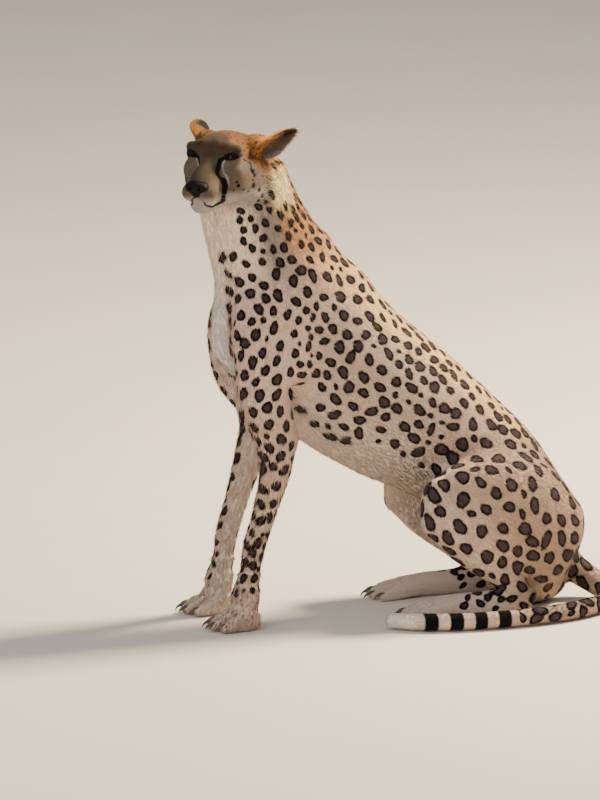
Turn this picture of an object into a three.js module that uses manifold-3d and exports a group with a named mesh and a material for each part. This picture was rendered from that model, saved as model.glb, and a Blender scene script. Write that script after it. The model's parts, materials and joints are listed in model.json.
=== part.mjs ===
// A life-size cheetah, sitting on its haunches with straight forelegs and its head turned to its left, as one
// still model. Millimetres, +Z up. The animal faces -Y and its left side is +X. The origin is on the floor,
// under the middle of its bounding box.
//
// The trunk with the neck, each limb and the tail are closed tubes carried along a path of named sections.
// The head and the nose are closed skins, found by sending rays out of a line inside a smooth field of balls
// and bars. Neighbouring pieces meet face to face with a thin gap.
import * as THREE from "three";
import { mergeVertices } from "three/addons/utils/BufferGeometryUtils.js";
import Module from "manifold-3d";

const wasm = await Module();
wasm.setup();

// ---- driving dimensions, mm and degrees ----
const GAP = 0.3; // left between touching pieces

const backSlope = 47.6; // of the back above the floor
const headTurn = 50; // of the face to the animal's left
const skullJoint = [15, -310, 865]; // where the head turns on the neck
const elbow = { x: 86, y: -250, z: 352 };
const wrist = { x: 76, y: -290, z: 152 };
const pawLead = 6; // how far the right forepaw stands ahead of the left one
const elbowLag = 20; // and how far its elbow is behind
const hip = { x: 58, y: 286, z: 168 };
const knee = { x: 116, y: 52, z: 236 };
const hock = { x: 101, y: 212, z: 46 };
const toePlant = { fore: -326, hind: 32 }; // y of the middle of each paw
const eyeCentre = { x: 36, forward: 91, z: 33 };
const eyeRadius = 15.5;
const eyeSlit = { half: 15, above: 4.8, below: 3.6, tilt: 8 };
const earLength = 80;
const earWidth = 58;

const FORWARD = [0, -1, 0];
const UP = [0, 0, 1];
const vec = (a) => new THREE.Vector3(...a);
const radians = THREE.MathUtils.degToRad;

// ---- from geometry to solid and back ----

// A closed three.js geometry as a solid that can be cut.
function solid(geometry) {
  const bare = geometry.clone();
  bare.deleteAttribute("normal");
  bare.deleteAttribute("uv");
  const merged = mergeVertices(bare, 1e-4);
  const vertProperties = merged.attributes.position.array;
  const triVerts = new Uint32Array(merged.index.array);
  const made = new wasm.Manifold(new wasm.Mesh({ numProp: 3, vertProperties, triVerts }));
  if (made.volume() > 0) return made;
  triVerts.reverse(); // it was inside out
  return new wasm.Manifold(new wasm.Mesh({ numProp: 3, vertProperties, triVerts }));
}

// The largest closed body of a solid, as a three.js geometry.
function geometryOf(made) {
  const bodies = made.decompose().sort((a, b) => b.volume() - a.volume());
  const mesh = bodies[0].getMesh();
  return new THREE.BufferGeometry()
    .setAttribute("position", new THREE.BufferAttribute(mesh.vertProperties, 3))
    .setIndex(new THREE.BufferAttribute(mesh.triVerts, 1));
}

const join = (solids) => solids.reduce((all, one) => all.add(one));
const cutAway = (from, cutters) => cutters.reduce((left, one) => left.subtract(one), from);

// Rows of points, each row a closed ring, with one pole before the first and one after the last.
function closedSkin(startPole, rows, endPole) {
  const sides = rows[0].length;
  const points = [startPole, ...rows.flat(), endPole];
  const last = points.length - 1;
  const at = (row, side) => 1 + row * sides + (side % sides);
  const faces = [];
  for (let side = 0; side < sides; side++) {
    faces.push(0, at(0, side + 1), at(0, side));
    for (let row = 0; row < rows.length - 1; row++) {
      faces.push(at(row, side), at(row, side + 1), at(row + 1, side + 1));
      faces.push(at(row, side), at(row + 1, side + 1), at(row + 1, side));
    }
    faces.push(last, at(rows.length - 1, side), at(rows.length - 1, side + 1));
  }
  return new THREE.BufferGeometry()
    .setFromPoints(points)
    .setIndex(faces);
}

// Two facing grids of points, one for each side of a thin sheet, closed along all four edges.
function sheetSkin(one, other) {
  const [rows, columns] = [one.length, one[0].length];
  const at = (side, row, column) => side * rows * columns + row * columns + column;
  const faces = [];
  const quad = (a, b, c, d) => faces.push(a, b, c, a, c, d);
  for (let r = 0; r < rows - 1; r++) {
    for (let c = 0; c < columns - 1; c++) {
      quad(at(0, r, c), at(0, r, c + 1), at(0, r + 1, c + 1), at(0, r + 1, c));
      quad(at(1, r, c), at(1, r + 1, c), at(1, r + 1, c + 1), at(1, r, c + 1));
    }
    quad(at(0, r, 0), at(0, r + 1, 0), at(1, r + 1, 0), at(1, r, 0));
    quad(at(0, r, columns - 1), at(1, r, columns - 1), at(1, r + 1, columns - 1), at(0, r + 1, columns - 1));
  }
  for (let c = 0; c < columns - 1; c++) {
    quad(at(0, 0, c), at(1, 0, c), at(1, 0, c + 1), at(0, 0, c + 1));
    quad(at(0, rows - 1, c), at(0, rows - 1, c + 1), at(1, rows - 1, c + 1), at(1, rows - 1, c));
  }
  return new THREE.BufferGeometry().setFromPoints([...one.flat(), ...other.flat()]).setIndex(faces);
}

// A closed tube along the sections' centres. A section has its centre, its half width to each side and its
// half depths to the front and back. keel and ridge narrow it towards the front and the back. bumps swell it.
function tube(sections, options) {
  const { rings, sides, front = FORWARD, frontEnd = front, caps = [8, 8], capRings = 3 } = options;
  const { keel = 0, ridge = 0, bumps = [], grow = 0 } = options;
  const path = new THREE.CatmullRomCurve3(sections.map((s) => vec(s.at)));
  const sizes = new THREE.CatmullRomCurve3(sections.map((s) => vec([s.side, s.front, s.back ?? s.front])));
  const fronts = [vec(front), vec(frontEnd)];

  function ring(t, along, scale) {
    const tangent = path.getTangent(t);
    const centre = path.getPoint(t).addScaledVector(tangent, along);
    const facing = fronts[0].clone().lerp(fronts[1], t);
    facing.addScaledVector(tangent, -facing.dot(tangent)).normalize();
    const across = new THREE.Vector3().crossVectors(facing, tangent);
    const size = sizes.getPoint(t);
    return Array.from({ length: sides }, (_, i) => {
      const angle = (2 * Math.PI * i) / sides;
      const [c, s] = [Math.cos(angle), Math.sin(angle)];
      const narrowing = 1 - keel * Math.max(0, s) ** 2 - ridge * Math.max(0, -s) ** 2;
      const width = size.x * narrowing + grow;
      const depth = (s > 0 ? size.y : size.z) + grow;
      const arm = across.clone().multiplyScalar(c * width * scale).addScaledVector(facing, s * depth * scale);
      const point = centre.clone().add(arm);
      for (const bump of bumps) {
        const away = point.distanceTo(vec(bump.at)) / bump.reach;
        point.addScaledVector(arm.clone().normalize(), bump.push * scale * Math.exp(-away * away));
      }
      return point;
    });
  }

  const rows = [];
  for (let i = 1; i <= capRings; i++) {
    const angle = (Math.PI / 2) * (i / capRings);
    rows.push(ring(0, -(caps[0] + grow) * Math.cos(angle), Math.sin(angle)));
  }
  for (let i = 1; i < rings; i++) rows.push(ring(i / rings, 0, 1));
  for (let i = capRings; i >= 1; i--) {
    const angle = (Math.PI / 2) * (i / capRings);
    rows.push(ring(1, (caps[1] + grow) * Math.cos(angle), Math.sin(angle)));
  }
  const ends = [
    path.getPoint(0).addScaledVector(path.getTangent(0), -caps[0] - grow),
    path.getPoint(1).addScaledVector(path.getTangent(1), caps[1] + grow),
  ];
  return solid(closedSkin(ends[0], rows, ends[1]));
}

// A closed skin round a smooth field. Rays leave the line from start to end square to it, and fan out past
// its two ends. Each stops where the field, which is negative inside, reaches grow.
function fieldSkin(start, end, field, { fanBack, straight, fanFront, sides, reach, grow = 0 }) {
  const [a, b] = [vec(start), vec(end)];
  const along = b.clone().sub(a).normalize();
  const up = vec(UP).addScaledVector(along, -along.z).normalize();
  const across = new THREE.Vector3().crossVectors(up, along);

  function hit(origin, direction) {
    const value = (r) => field(origin.clone().addScaledVector(direction, r)) - grow;
    let [near, far] = [0, 4];
    while (far < reach && value(far) < 0) [near, far] = [far, far + 3];
    for (let i = 0; i < 14; i++) {
      const middle = (near + far) / 2;
      if (value(middle) < 0) near = middle;
      else far = middle;
    }
    return origin.clone().addScaledVector(direction, near);
  }

  const row = (origin, tilt) =>
    Array.from({ length: sides }, (_, i) => {
      const angle = (2 * Math.PI * i) / sides;
      const out = across.clone().multiplyScalar(Math.cos(angle)).addScaledVector(up, Math.sin(angle));
      return hit(origin, out.multiplyScalar(Math.cos(tilt)).addScaledVector(along, Math.sin(tilt)));
    });
  const rows = [];
  for (let i = 1; i < fanBack; i++) rows.push(row(a, (-Math.PI / 2) * (1 - i / fanBack)));
  for (let i = 0; i <= straight; i++) rows.push(row(a.clone().lerp(b, i / straight), 0));
  for (let i = 1; i < fanFront; i++) rows.push(row(b, (Math.PI / 2) * (i / fanFront)));
  return solid(closedSkin(hit(a, along.clone().negate()), rows, hit(b, along)));
}

// ---- the smooth field's forms: signed distance, negative inside ----

// An ellipsoid, given its centre and its three half sizes.
function ball(p, centre, radii) {
  const [x, y, z] = [p.x - centre[0], p.y - centre[1], p.z - centre[2]];
  const k0 = Math.hypot(x / radii[0], y / radii[1], z / radii[2]);
  const k1 = Math.hypot(x / radii[0] ** 2, y / radii[1] ** 2, z / radii[2] ** 2);
  return k1 < 1e-9 ? -Math.min(...radii) : (k0 * (k0 - 1)) / k1;
}

// A rounded bar from one point to another, with a radius at each.
function bar(p, from, to, r0, r1) {
  const [a, b] = [vec(from), vec(to)];
  const line = b.clone().sub(a);
  const t = THREE.MathUtils.clamp(p.clone().sub(a).dot(line) / line.lengthSq(), 0, 1);
  return p.distanceTo(a.addScaledVector(line, t)) - THREE.MathUtils.lerp(r0, r1, t);
}

// The union of distances a and b with a fillet of about k.
function blend(a, b, k) {
  const h = Math.max(k - Math.abs(a - b), 0) / k;
  return Math.min(a, b) - (h * h * k) / 4;
}

// a with b taken out of it, with a rounded rim of about k.
const carve = (a, b, k) => -blend(-a, b, k);

// ---- trunk and neck ----

// One tube from the seat up the back to the skull joint. front is the half depth towards the belly and the
// throat, and back is that towards the spine.
const trunkSections = [
  { at: [0, 268, 36], side: 66, front: 58, back: 70 }, // seat
  { at: [0, 262, 130], side: 84, front: 92, back: 98 }, // rump
  { at: [0, 205, 235], side: 84, front: 108, back: 105 }, // croup
  { at: [0, 116, 330], side: 86, front: 146, back: 106 }, // loin
  { at: [0, 18, 408], side: 97, front: 172, back: 116 }, // belly
  { at: [0, -76, 478], side: 104, front: 180, back: 124 }, // last ribs
  { at: [0, -148, 545], side: 102, front: 166, back: 133 }, // girth
  { at: [0, -208, 612], side: 94, front: 153, back: 132 }, // shoulders
  { at: [2, -246, 686], side: 80, front: 107, back: 122 }, // neck base
  { at: [6, -268, 765], side: 72, front: 103, back: 93 }, // neck
  { at: [11, -288, 838], side: 66, front: 99, back: 78 }, // throat
];

function trunk(grow = 0) {
  return tube(trunkSections, {
    rings: 25, sides: 24, caps: [40, 30], capRings: 2, keel: 0.22, ridge: 0.12, grow,
    bumps: [
      { at: [0, -350, 500], reach: 58, push: 25 }, // breast
      { at: [42, -66, 650], reach: 36, push: 7 }, // left shoulder blade
      { at: [-42, -66, 650], reach: 36, push: 7 },
    ],
  });
}

// ---- forelegs ----

// The upper arm with the shoulder, and the forearm, as one tube from the shoulder blade to the wrist.
function foreleg(s, grow = 0) {
  const far = s > 0 ? 0 : 1; // the right elbow is held further back, and its paw stands a little ahead
  const section = (x, y, z, side, front, back) => ({ at: [s * x, y, z], side, front, back });
  return tube(
    [
      section(56, -194, 640, 28, 58, 56),
      section(76, -248, 566, 34, 80, 66),
      section(84, -262, 506, 37, 74, 80),
      section(88, -274 + far * 8, 452, 37, 54, 50),
      section(88, -264 + far * 28, 400, 37, 48, 48),
      section(elbow.x, elbow.y + far * elbowLag, elbow.z, 34, 43, 40),
      section(84, -252 + far * 3, 290, 29, 33, 31),
      section(80, -272 - far * 3, 210, 23, 26, 22),
      section(wrist.x, wrist.y - far * pawLead, wrist.z, 23, 22, 22),
      section(wrist.x - 1, wrist.y - 9 - far * pawLead, 100, 21, 19, 19),
      section(wrist.x - 2, wrist.y - 17 - far * pawLead, 60, 26, 24, 20),
    ],
    {
      rings: 22, sides: 14, caps: [40, 16], capRings: 2, grow,
      bumps: [
        { at: [s * 84, -212 + far * elbowLag, 362], reach: 24, push: 7 }, // point of the elbow
        { at: [s * 96, -186, 500], reach: 34, push: 6 }, // triceps
      ],
    },
  );
}

// ---- hind legs ----

function thigh(s, grow = 0) {
  const section = (x, y, z, side, front, back) => ({ at: [s * x, y, z], side, front, back });
  return tube(
    [
      section(hip.x, hip.y + 14, hip.z - 34, 52, 76, 88),
      section(80, 228, 178, 62, 103, 104),
      section(98, 152, 202, 60, 98, 96),
      section(110, 90, 218, 50, 78, 80),
      section(knee.x, knee.y - 2, knee.z - 12, 38, 50, 58),
    ],
    { rings: 10, sides: 16, front: UP, caps: [46, 30], capRings: 2, grow },
  );
}

function shank(s, grow = 0) {
  const section = (x, y, z, side, front, back) => ({ at: [s * x, y, z], side, front, back });
  return tube(
    [
      section(knee.x, knee.y + 12, knee.z - 40, 36, 46, 54),
      section(114, 102, 150, 37, 42, 50),
      section(108, 154, 98, 29, 30, 36),
      section(103, 196, 62, 21, 21, 26),
      section(hock.x, hock.y + 4, hock.z + 2, 20, 20, 20),
    ],
    { rings: 9, sides: 12, caps: [24, 12], capRings: 2, grow },
  );
}

// ---- paws ----

// Four toes side by side. Each is a bent tube from the knuckle down to the tip, and the middle two reach
// furthest. spread is the distance between neighbours.
function toes(s, centre, y, { spread, width, length, height }, grow = 0) {
  return [-1.5, -0.5, 0.5, 1.5].map((place) => {
    const x = s * (centre + place * spread);
    const fan = s * place * 3.2;
    const back = Math.abs(place) > 1 ? 13 : 0;
    const section = (dx, dy, z, side, front, rear) => ({
      at: [x + dx, y + back + dy, z],
      side,
      front,
      back: rear,
    });
    return tube(
      [
        section(-fan, 30, height * 0.62, width * 0.8, height * 0.46, height * 0.5),
        section(0, 0, height * 0.56, width, height * 0.44, height * 0.56),
        section(fan, -length * 0.55, height * 0.42, width * 0.98, height * 0.38, height * 0.48),
        section(fan * 1.5, -length, height * 0.3, width * 0.72, height * 0.22, height * 0.34),
      ],
      { rings: 3, sides: 7, front: UP, caps: [8, 7], capRings: 2, grow },
    );
  });
}

const toeSizes = {
  fore: { spread: 17.2, width: 9.6, length: 36, height: 36 },
  hind: { spread: 16, width: 9, length: 38, height: 32 },
};

function forepaw(s, grow = 0) {
  const y = toePlant.fore - (s > 0 ? 0 : pawLead);
  const section = (dy, z, side, front, back) => ({ at: [s * wrist.x, y + dy, z], side, front, back });
  const palm = tube(
    [
      section(26, 78, 25, 21, 19),
      section(22, 52, 28, 25, 22),
      section(14, 26, 33, 30, 30),
      section(10, 2, 32, 30, 28),
    ],
    { rings: 5, sides: 12, caps: [6, 4], capRings: 1, grow },
  );
  return join([palm, ...toes(s, wrist.x, y - 8, toeSizes.fore, grow)]);
}

// The hind foot lies flat from the heel to the toes.
function hindfoot(s, grow = 0) {
  const y = toePlant.hind;
  const section = (x, dy, z, side, front, back) => ({ at: [s * x, dy, z], side, front, back });
  const sole = tube(
    [
      section(hock.x, hock.y + 22, 30, 17, 22, 33),
      section(hock.x, hock.y - 8, 34, 20, 26, 37),
      section(100, 150, 29, 20, 19, 32),
      section(98, 96, 27, 24, 18, 30),
      section(98, y + 20, 24, 31, 15, 27),
    ],
    { rings: 7, sides: 12, front: UP, caps: [14, 12], capRings: 2, grow },
  );
  return join([sole, ...toes(s, 98, y - 4, toeSizes.hind, grow)]);
}

// A claw is a short hooked horn out of the front of its toe.
function claw([x, y, z], grow = 0) {
  const section = (dy, dz, r) => ({ at: [x, y + dy, z + dz], side: r * 0.8, front: r, back: r });
  return tube([section(9, 3, 3.4), section(0, 2.5, 3), section(-7, -1, 2), section(-11, -6, 0.9)], {
    rings: 3, sides: 5, front: UP, caps: [1, 0.8], capRings: 1, grow,
  });
}

// ---- tail ----

// From under the rump it drops to the floor and lies round the left haunch.
const tailRoute = [
  [0, 318, 92],
  [2, 362, 52],
  [30, 396, 27],
  [86, 398, 20],
  [142, 362, 19],
  [182, 300, 19],
  [204, 228, 18],
  [214, 150, 18],
  [212, 72, 18],
  [196, 4, 18],
  [166, -52, 18],
];
const tailHalf = [31, 29, 25, 22, 20.5, 20, 19.5, 19.5, 19.5, 20, 18];

function tail(grow = 0) {
  const route = tailRoute.map((at, i) => ({
    at,
    side: tailHalf[i],
    front: tailHalf[i],
    back: tailHalf[i] + 1,
  }));
  return tube(route, {
    rings: 27, sides: 10, capRings: 2, front: [0, 0.35, 1], frontEnd: UP, caps: [10, 16], grow,
  });
}

// ---- head, in its own frame: x to its left, y backwards, z up, from the skull joint ----

const mirrored = (x, forward, z) => [x, -forward, z];

// The head's flesh. p.x is folded over, so each form stands on both sides.
function headField(point) {
  const p = new THREE.Vector3(Math.abs(point.x), point.y, point.z);
  const at = mirrored;
  let d = ball(p, at(0, 44, 16), [57, 64, 57]); // braincase
  d = blend(d, ball(p, at(0, 84, 30), [40, 32, 36]), 22); // forehead
  d = blend(d, ball(p, at(36, 62, -16), [31, 46, 38]), 20); // cheek
  d = blend(d, ball(p, at(46, 26, -24), [30, 38, 42]), 22); // ruff
  d = blend(d, bar(p, at(46, 92, 4), at(58, 46, 8), 13, 14), 16); // cheekbone
  d = blend(d, ball(p, at(0, 0, -4), [58, 46, 60]), 30); // nape
  d = blend(d, bar(p, at(24, 40, -41), at(10, 146, -50), 24, 15), 16); // jaw
  d = blend(d, ball(p, at(0, 136, -14), [29, 44, 30]), 14); // muzzle
  d = blend(d, bar(p, at(0, 112, 26), at(0, 170, -11), 16, 13), 12); // bridge of the nose
  d = blend(d, bar(p, at(14, 98, 50), at(46, 90, 46), 10, 10), 12); // brow
  d = carve(d, ball(p, at(42, 122, 28), [12, 14, 10]), 9); // inner corner
  d = blend(d, ball(p, at(36, 90, 33), [19, 19.5, 18.5]), 7); // lids
  d = blend(d, ball(p, at(17, 157, -25), [18, 24, 19]), 8); // whisker pad
  d = blend(d, ball(p, at(0, 149, -52), [19, 23, 15]), 11); // chin
  d = blend(d, ball(p, at(50, 10, 45), [24, 30, 20]), 18); // ear root
  return d;
}

function headSkin(grow = 0) {
  const options = { fanBack: 5, straight: 15, fanFront: 9, sides: 28, reach: 130, grow };
  return fieldSkin(mirrored(0, 20, 0), mirrored(0, 138, -22), headField, options);
}

// Puts a solid of the head's frame on the neck.
const headMatrix = new THREE.Matrix4()
  .makeTranslation(...skullJoint)
  .multiply(new THREE.Matrix4().makeRotationZ(radians(headTurn)));

const onNeck = (made) => made.transform(headMatrix.elements);

// Unit vector that an eye looks along: forwards and a little outwards.
const gaze = (s) => vec([s * 0.34, -0.93, 0.06]).normalize();

function eyeball(s, grow = 0) {
  const centre = vec(mirrored(s * eyeCentre.x, eyeCentre.forward, eyeCentre.z));
  const geometry = new THREE.SphereGeometry(eyeRadius + grow, 14, 9);
  geometry.rotateX(-Math.PI / 2); // a pole looks forwards
  geometry.applyQuaternion(new THREE.Quaternion().setFromUnitVectors(vec(FORWARD), gaze(s)));
  return solid(geometry.translate(...centre));
}

// The almond between the lids, as a prism from the middle of the eye outwards along the gaze.
function lidOpening(s) {
  const { half, above, below, tilt } = eyeSlit;
  const almond = new THREE.Shape().moveTo(-half, 0);
  almond.quadraticCurveTo(0, above * 2, half, 0);
  almond.quadraticCurveTo(0, -below * 2, -half, 0);
  const geometry = new THREE.ExtrudeGeometry(almond, { depth: 40, bevelEnabled: false, curveSegments: 6 });
  geometry.rotateZ(radians(s * tilt)); // the outer corner sits higher
  geometry.applyQuaternion(new THREE.Quaternion().setFromUnitVectors(vec(UP), vec(FORWARD)));
  geometry.applyQuaternion(new THREE.Quaternion().setFromUnitVectors(vec(FORWARD), gaze(s)));
  return solid(geometry.translate(...mirrored(s * eyeCentre.x, eyeCentre.forward, eyeCentre.z)));
}

// The line of the mouth: a thin wedge carried back from under the nose to each corner.
function mouthLine(s) {
  const line = [
    [0, 184, -37],
    [9, 181, -42],
    [20, 170, -48],
    [29, 152, -50],
    [36, 132, -47],
    [41, 114, -42],
  ].map(([x, forward, z]) => vec(mirrored(s * x, forward, z)));
  const corners = [[-1.1, -5], [1.1, -5], [1.1, 5], [-1.1, 5]];
  const section = new THREE.Shape(corners.map((q) => new THREE.Vector2(...q)));
  const options = { steps: 9, extrudePath: new THREE.CatmullRomCurve3(line), bevelEnabled: false };
  return solid(new THREE.ExtrudeGeometry(section, options));
}

function noseField(point) {
  const p = new THREE.Vector3(Math.abs(point.x), point.y, point.z);
  const at = mirrored;
  let d = ball(p, at(0, 174, -8), [17, 12, 9]); // top of the pad
  d = blend(d, ball(p, at(13, 174, -13), [8.5, 11, 8]), 6); // wing of the nostril
  d = blend(d, bar(p, at(0, 177, -14), at(0, 178, -29), 8.5, 3.5), 6); // down to the lip
  return d;
}

function nosePad(grow = 0) {
  const options = { fanBack: 3, straight: 2, fanFront: 5, sides: 16, reach: 40, grow };
  return fieldSkin(mirrored(0, 171, -13), mirrored(0, 177, -15), noseField, options);
}

function nostril(s) {
  const section = (x, forward, z, r) => ({ at: mirrored(s * x, forward, z), side: r, front: r * 0.75 });
  return tube([section(7.5, 190, -13, 4), section(10, 181, -14.5, 3.4), section(12, 174, -15, 2)], {
    rings: 3, sides: 7, front: UP, caps: [2, 1], capRings: 1,
  }).add(
    tube([section(9.5, 187, -16, 2), section(15.5, 182, -18.5, 1.7), section(21.5, 175, -17, 1.2)], {
      rings: 3, sides: 6, front: UP, caps: [1, 1], capRings: 1,
    }),
  );
}

// An ear is a cupped leaf, folded back: a curved sheet from root to tip with a wall that thins to its rim.
function ear(s, grow = 0) {
  const wall = 3.6;
  const root = vec(mirrored(s * 54, 20, 39));
  const axis = s > 0 ? vec([0.76, 0.57, 0.27]) : vec([-0.42, 0.87, 0.2]); // the right ear lies closer in
  axis.normalize();
  const opening = vec([s * 0.5, -0.5, -0.55]);
  opening.addScaledVector(axis, -opening.dot(axis)).normalize();
  const across = new THREE.Vector3().crossVectors(opening, axis);

  // up runs 0 to 1 from root to tip, over runs -1 to 1 from edge to edge, side is +1 on the hollow face
  const leaf = (up, over, side) => {
    const width = (earWidth / 2) * Math.sin(Math.PI * (0.3 + 0.68 * up ** 1.1)) ** 0.75;
    const curl = 1.2 - 0.5 * up; // radians to each side
    const radius = width / Math.sin(curl);
    const thickness = (wall * (1 - 0.4 * up) * (1 - 0.4 * over * over)) / 2 + grow;
    const r = radius - side * thickness;
    const rim = Math.abs(over) === 1 ? grow * over : 0;
    return root
      .clone()
      .addScaledVector(axis, up * earLength + (up === 0 ? -grow : 0))
      .addScaledVector(across, Math.sin(over * curl) * r + rim)
      .addScaledVector(opening, radius * 0.75 - Math.cos(over * curl) * r - 8 * up * up);
  };
  const overs = [-1, -0.66, -0.33, 0, 0.33, 0.66, 1];
  const ups = Array.from({ length: 9 }, (_, i) => i / 8);
  const sheet = (side) => ups.map((up) => overs.map((over) => leaf(up, over, side)));
  return solid(sheetSkin(sheet(1), sheet(-1)));
}

// ---- cutting into nodes ----

const ROOM = 4000;

// A block with one face through a point, filling the side that normal points to.
function halfSpace(point, normal, offset = 0) {
  const n = vec(normal).normalize();
  const block = new THREE.BoxGeometry(ROOM, ROOM, ROOM).translate(0, 0, ROOM / 2 + offset);
  block.applyQuaternion(new THREE.Quaternion().setFromUnitVectors(vec(UP), n));
  return solid(block.translate(...point));
}

// Parts a solid at the planes, from its start to its end, with the gap between the lengths.
function part(made, planes) {
  const pieces = [];
  let rest = made;
  for (const { at, normal } of planes) {
    pieces.push(rest.subtract(halfSpace(at, normal, -GAP / 2)));
    rest = rest.intersect(halfSpace(at, normal, GAP / 2));
  }
  return [...pieces, rest];
}

const aboveFloor = halfSpace([0, 0, 0], UP);
const nodes = [];
const node = (name, made, finish) => nodes.push({ name, made: made.intersect(aboveFloor), finish });

const LEFT_RIGHT = [["left", 1], ["right", -1]];

// The head and what sits in it.
const noseSolid = nosePad();
const earSolids = LEFT_RIGHT.map(([, s]) => ear(s));
let head = headSkin();
for (const [, s] of LEFT_RIGHT) {
  head = cutAway(head, [lidOpening(s), eyeball(s, GAP), mouthLine(s), ear(s, 2 * GAP)]);
}
head = head.subtract(nosePad(GAP));
node("head", onNeck(head), "coat");
node("nose", onNeck(cutAway(noseSolid, LEFT_RIGHT.map(([, s]) => nostril(s)))), "nose");
LEFT_RIGHT.forEach(([side, s], i) => {
  node("ear_" + side, onNeck(earSolids[i]), "ear");
  node("eye_" + side, onNeck(eyeball(s)), "eye");
});

// Limbs, each cut clear of the one below it.
const clearOfTrunk = [onNeck(headSkin(GAP)), tail(GAP)];
for (const [side, s] of LEFT_RIGHT) {
  clearOfTrunk.push(onNeck(ear(s, 2 * GAP)));
  const lead = s > 0 ? 0 : pawLead;
  const clawsFore = [];
  const clawsHind = [];
  [-1.5, -0.5, 0.5, 1.5].forEach((place, i) => {
    const back = Math.abs(place) > 1 ? 13 : 0;
    for (const [kind, list, y, centre] of [
      ["fore", clawsFore, toePlant.fore - lead - 8, wrist.x],
      ["hind", clawsHind, toePlant.hind - 4, 98],
    ]) {
      const size = toeSizes[kind];
      const x = s * (centre + place * size.spread) + s * place * 3.2 * 1.5;
      const tip = [x, y + back - size.length - 6, size.height * 0.36];
      list.push(claw(tip, GAP));
      node("claw_" + kind + "_" + side + "_" + (i + 1), claw(tip), "claw");
    }
  });

  node("forepaw_" + side, cutAway(forepaw(s), clawsFore), "coat");
  const arm = foreleg(s).subtract(forepaw(s, GAP));
  const [upper, lower] = part(arm, [
    { at: [s * elbow.x, elbow.y, elbow.z - 34], normal: [0, -0.12, -1] },
  ]);
  node("upper_arm_" + side, upper, "coat");
  node("forearm_" + side, lower, "coat");

  node("hindfoot_" + side, cutAway(hindfoot(s), clawsHind), "coat");
  node("shank_" + side, cutAway(shank(s), [hindfoot(s, GAP), thigh(s, GAP)]), "coat");
  node("thigh_" + side, thigh(s).subtract(hindfoot(s, GAP)), "coat");
  clearOfTrunk.push(foreleg(s, GAP), thigh(s, GAP), shank(s, GAP), hindfoot(s, GAP));
}

// Tail and trunk.
const tailPieces = part(tail(), [
  { at: [150, 355, 20], normal: [0.6, -0.8, 0] },
  { at: [213, 110, 20], normal: [0, -1, 0] },
]);
["root", "middle", "tip"].forEach((name, i) => node("tail_" + name, tailPieces[i], "coat"));

const slope = [0, -Math.cos(radians(backSlope)), Math.sin(radians(backSlope))];
const trunkPieces = part(cutAway(trunk(), clearOfTrunk), [
  { at: [0, 170, 280], normal: slope },
  { at: [0, -40, 452], normal: slope },
  { at: [0, -235, 665], normal: [0, -0.35, 0.94] },
]);
["rump", "belly", "chest", "neck"].forEach((name, i) => node(name, trunkPieces[i], "coat"));

// ---- the model ----

const finishes = {
  coat: { color: 0xc9a173, roughness: 0.85 },
  ear: { color: 0xb98b5c, roughness: 0.85 },
  nose: { color: 0x1c1715, roughness: 0.45 },
  eye: { color: 0x7a4a16, roughness: 0.1 },
  claw: { color: 0x2a241f, roughness: 0.4 },
};

const cheetah = new THREE.Group();
for (const { name, made, finish } of nodes) {
  const material = new THREE.MeshStandardMaterial({ ...finishes[finish], metalness: 0 });
  const mesh = new THREE.Mesh(geometryOf(made), material);
  mesh.name = name;
  cheetah.add(mesh);
}
const box = new THREE.Box3().setFromObject(cheetah);
const middle = box.getCenter(new THREE.Vector3());
cheetah.position.set(-middle.x, -middle.y, 0);

export default cheetah;
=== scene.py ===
"""A life-size cheetah sitting on its haunches, dressed with skin, coat, eyes, nose, ears, claws and whiskers.

Shapes are worked out in millimetres in the modeller's frame, where the animal faces -Y and its left side is
+X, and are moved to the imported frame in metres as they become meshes. The head has a frame of its own: to its
left, forward, up, from the joint of the skull.
"""

import json
import math

import bpy
import numpy as np
import openvdb
from mathutils import Matrix, Vector

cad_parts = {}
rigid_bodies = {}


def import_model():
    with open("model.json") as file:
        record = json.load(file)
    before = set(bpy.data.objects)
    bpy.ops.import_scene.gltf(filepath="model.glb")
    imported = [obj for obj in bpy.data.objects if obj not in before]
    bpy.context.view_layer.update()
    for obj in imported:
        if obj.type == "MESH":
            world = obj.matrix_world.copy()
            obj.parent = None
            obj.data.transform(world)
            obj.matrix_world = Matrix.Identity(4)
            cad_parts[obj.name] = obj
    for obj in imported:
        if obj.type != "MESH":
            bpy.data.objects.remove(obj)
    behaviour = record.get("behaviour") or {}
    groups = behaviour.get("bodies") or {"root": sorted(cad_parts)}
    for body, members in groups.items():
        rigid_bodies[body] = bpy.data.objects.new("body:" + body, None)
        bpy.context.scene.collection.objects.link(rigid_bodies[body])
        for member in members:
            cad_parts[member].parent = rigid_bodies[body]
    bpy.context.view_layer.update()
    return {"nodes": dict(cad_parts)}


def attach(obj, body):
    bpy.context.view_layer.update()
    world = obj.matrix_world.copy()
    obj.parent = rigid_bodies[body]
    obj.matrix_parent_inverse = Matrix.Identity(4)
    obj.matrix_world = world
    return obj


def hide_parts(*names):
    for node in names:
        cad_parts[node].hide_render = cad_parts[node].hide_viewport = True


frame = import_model()

MODEL_TO_FRAME = np.array([-37.48335, 10.33386, 0.0])  # mm, from the modeller's origin to the frame's
FORWARD, UP = np.array([0.0, -1.0, 0.0]), np.array([0.0, 0.0, 1.0])
SIDES = (("left", 1), ("right", -1))

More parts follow.
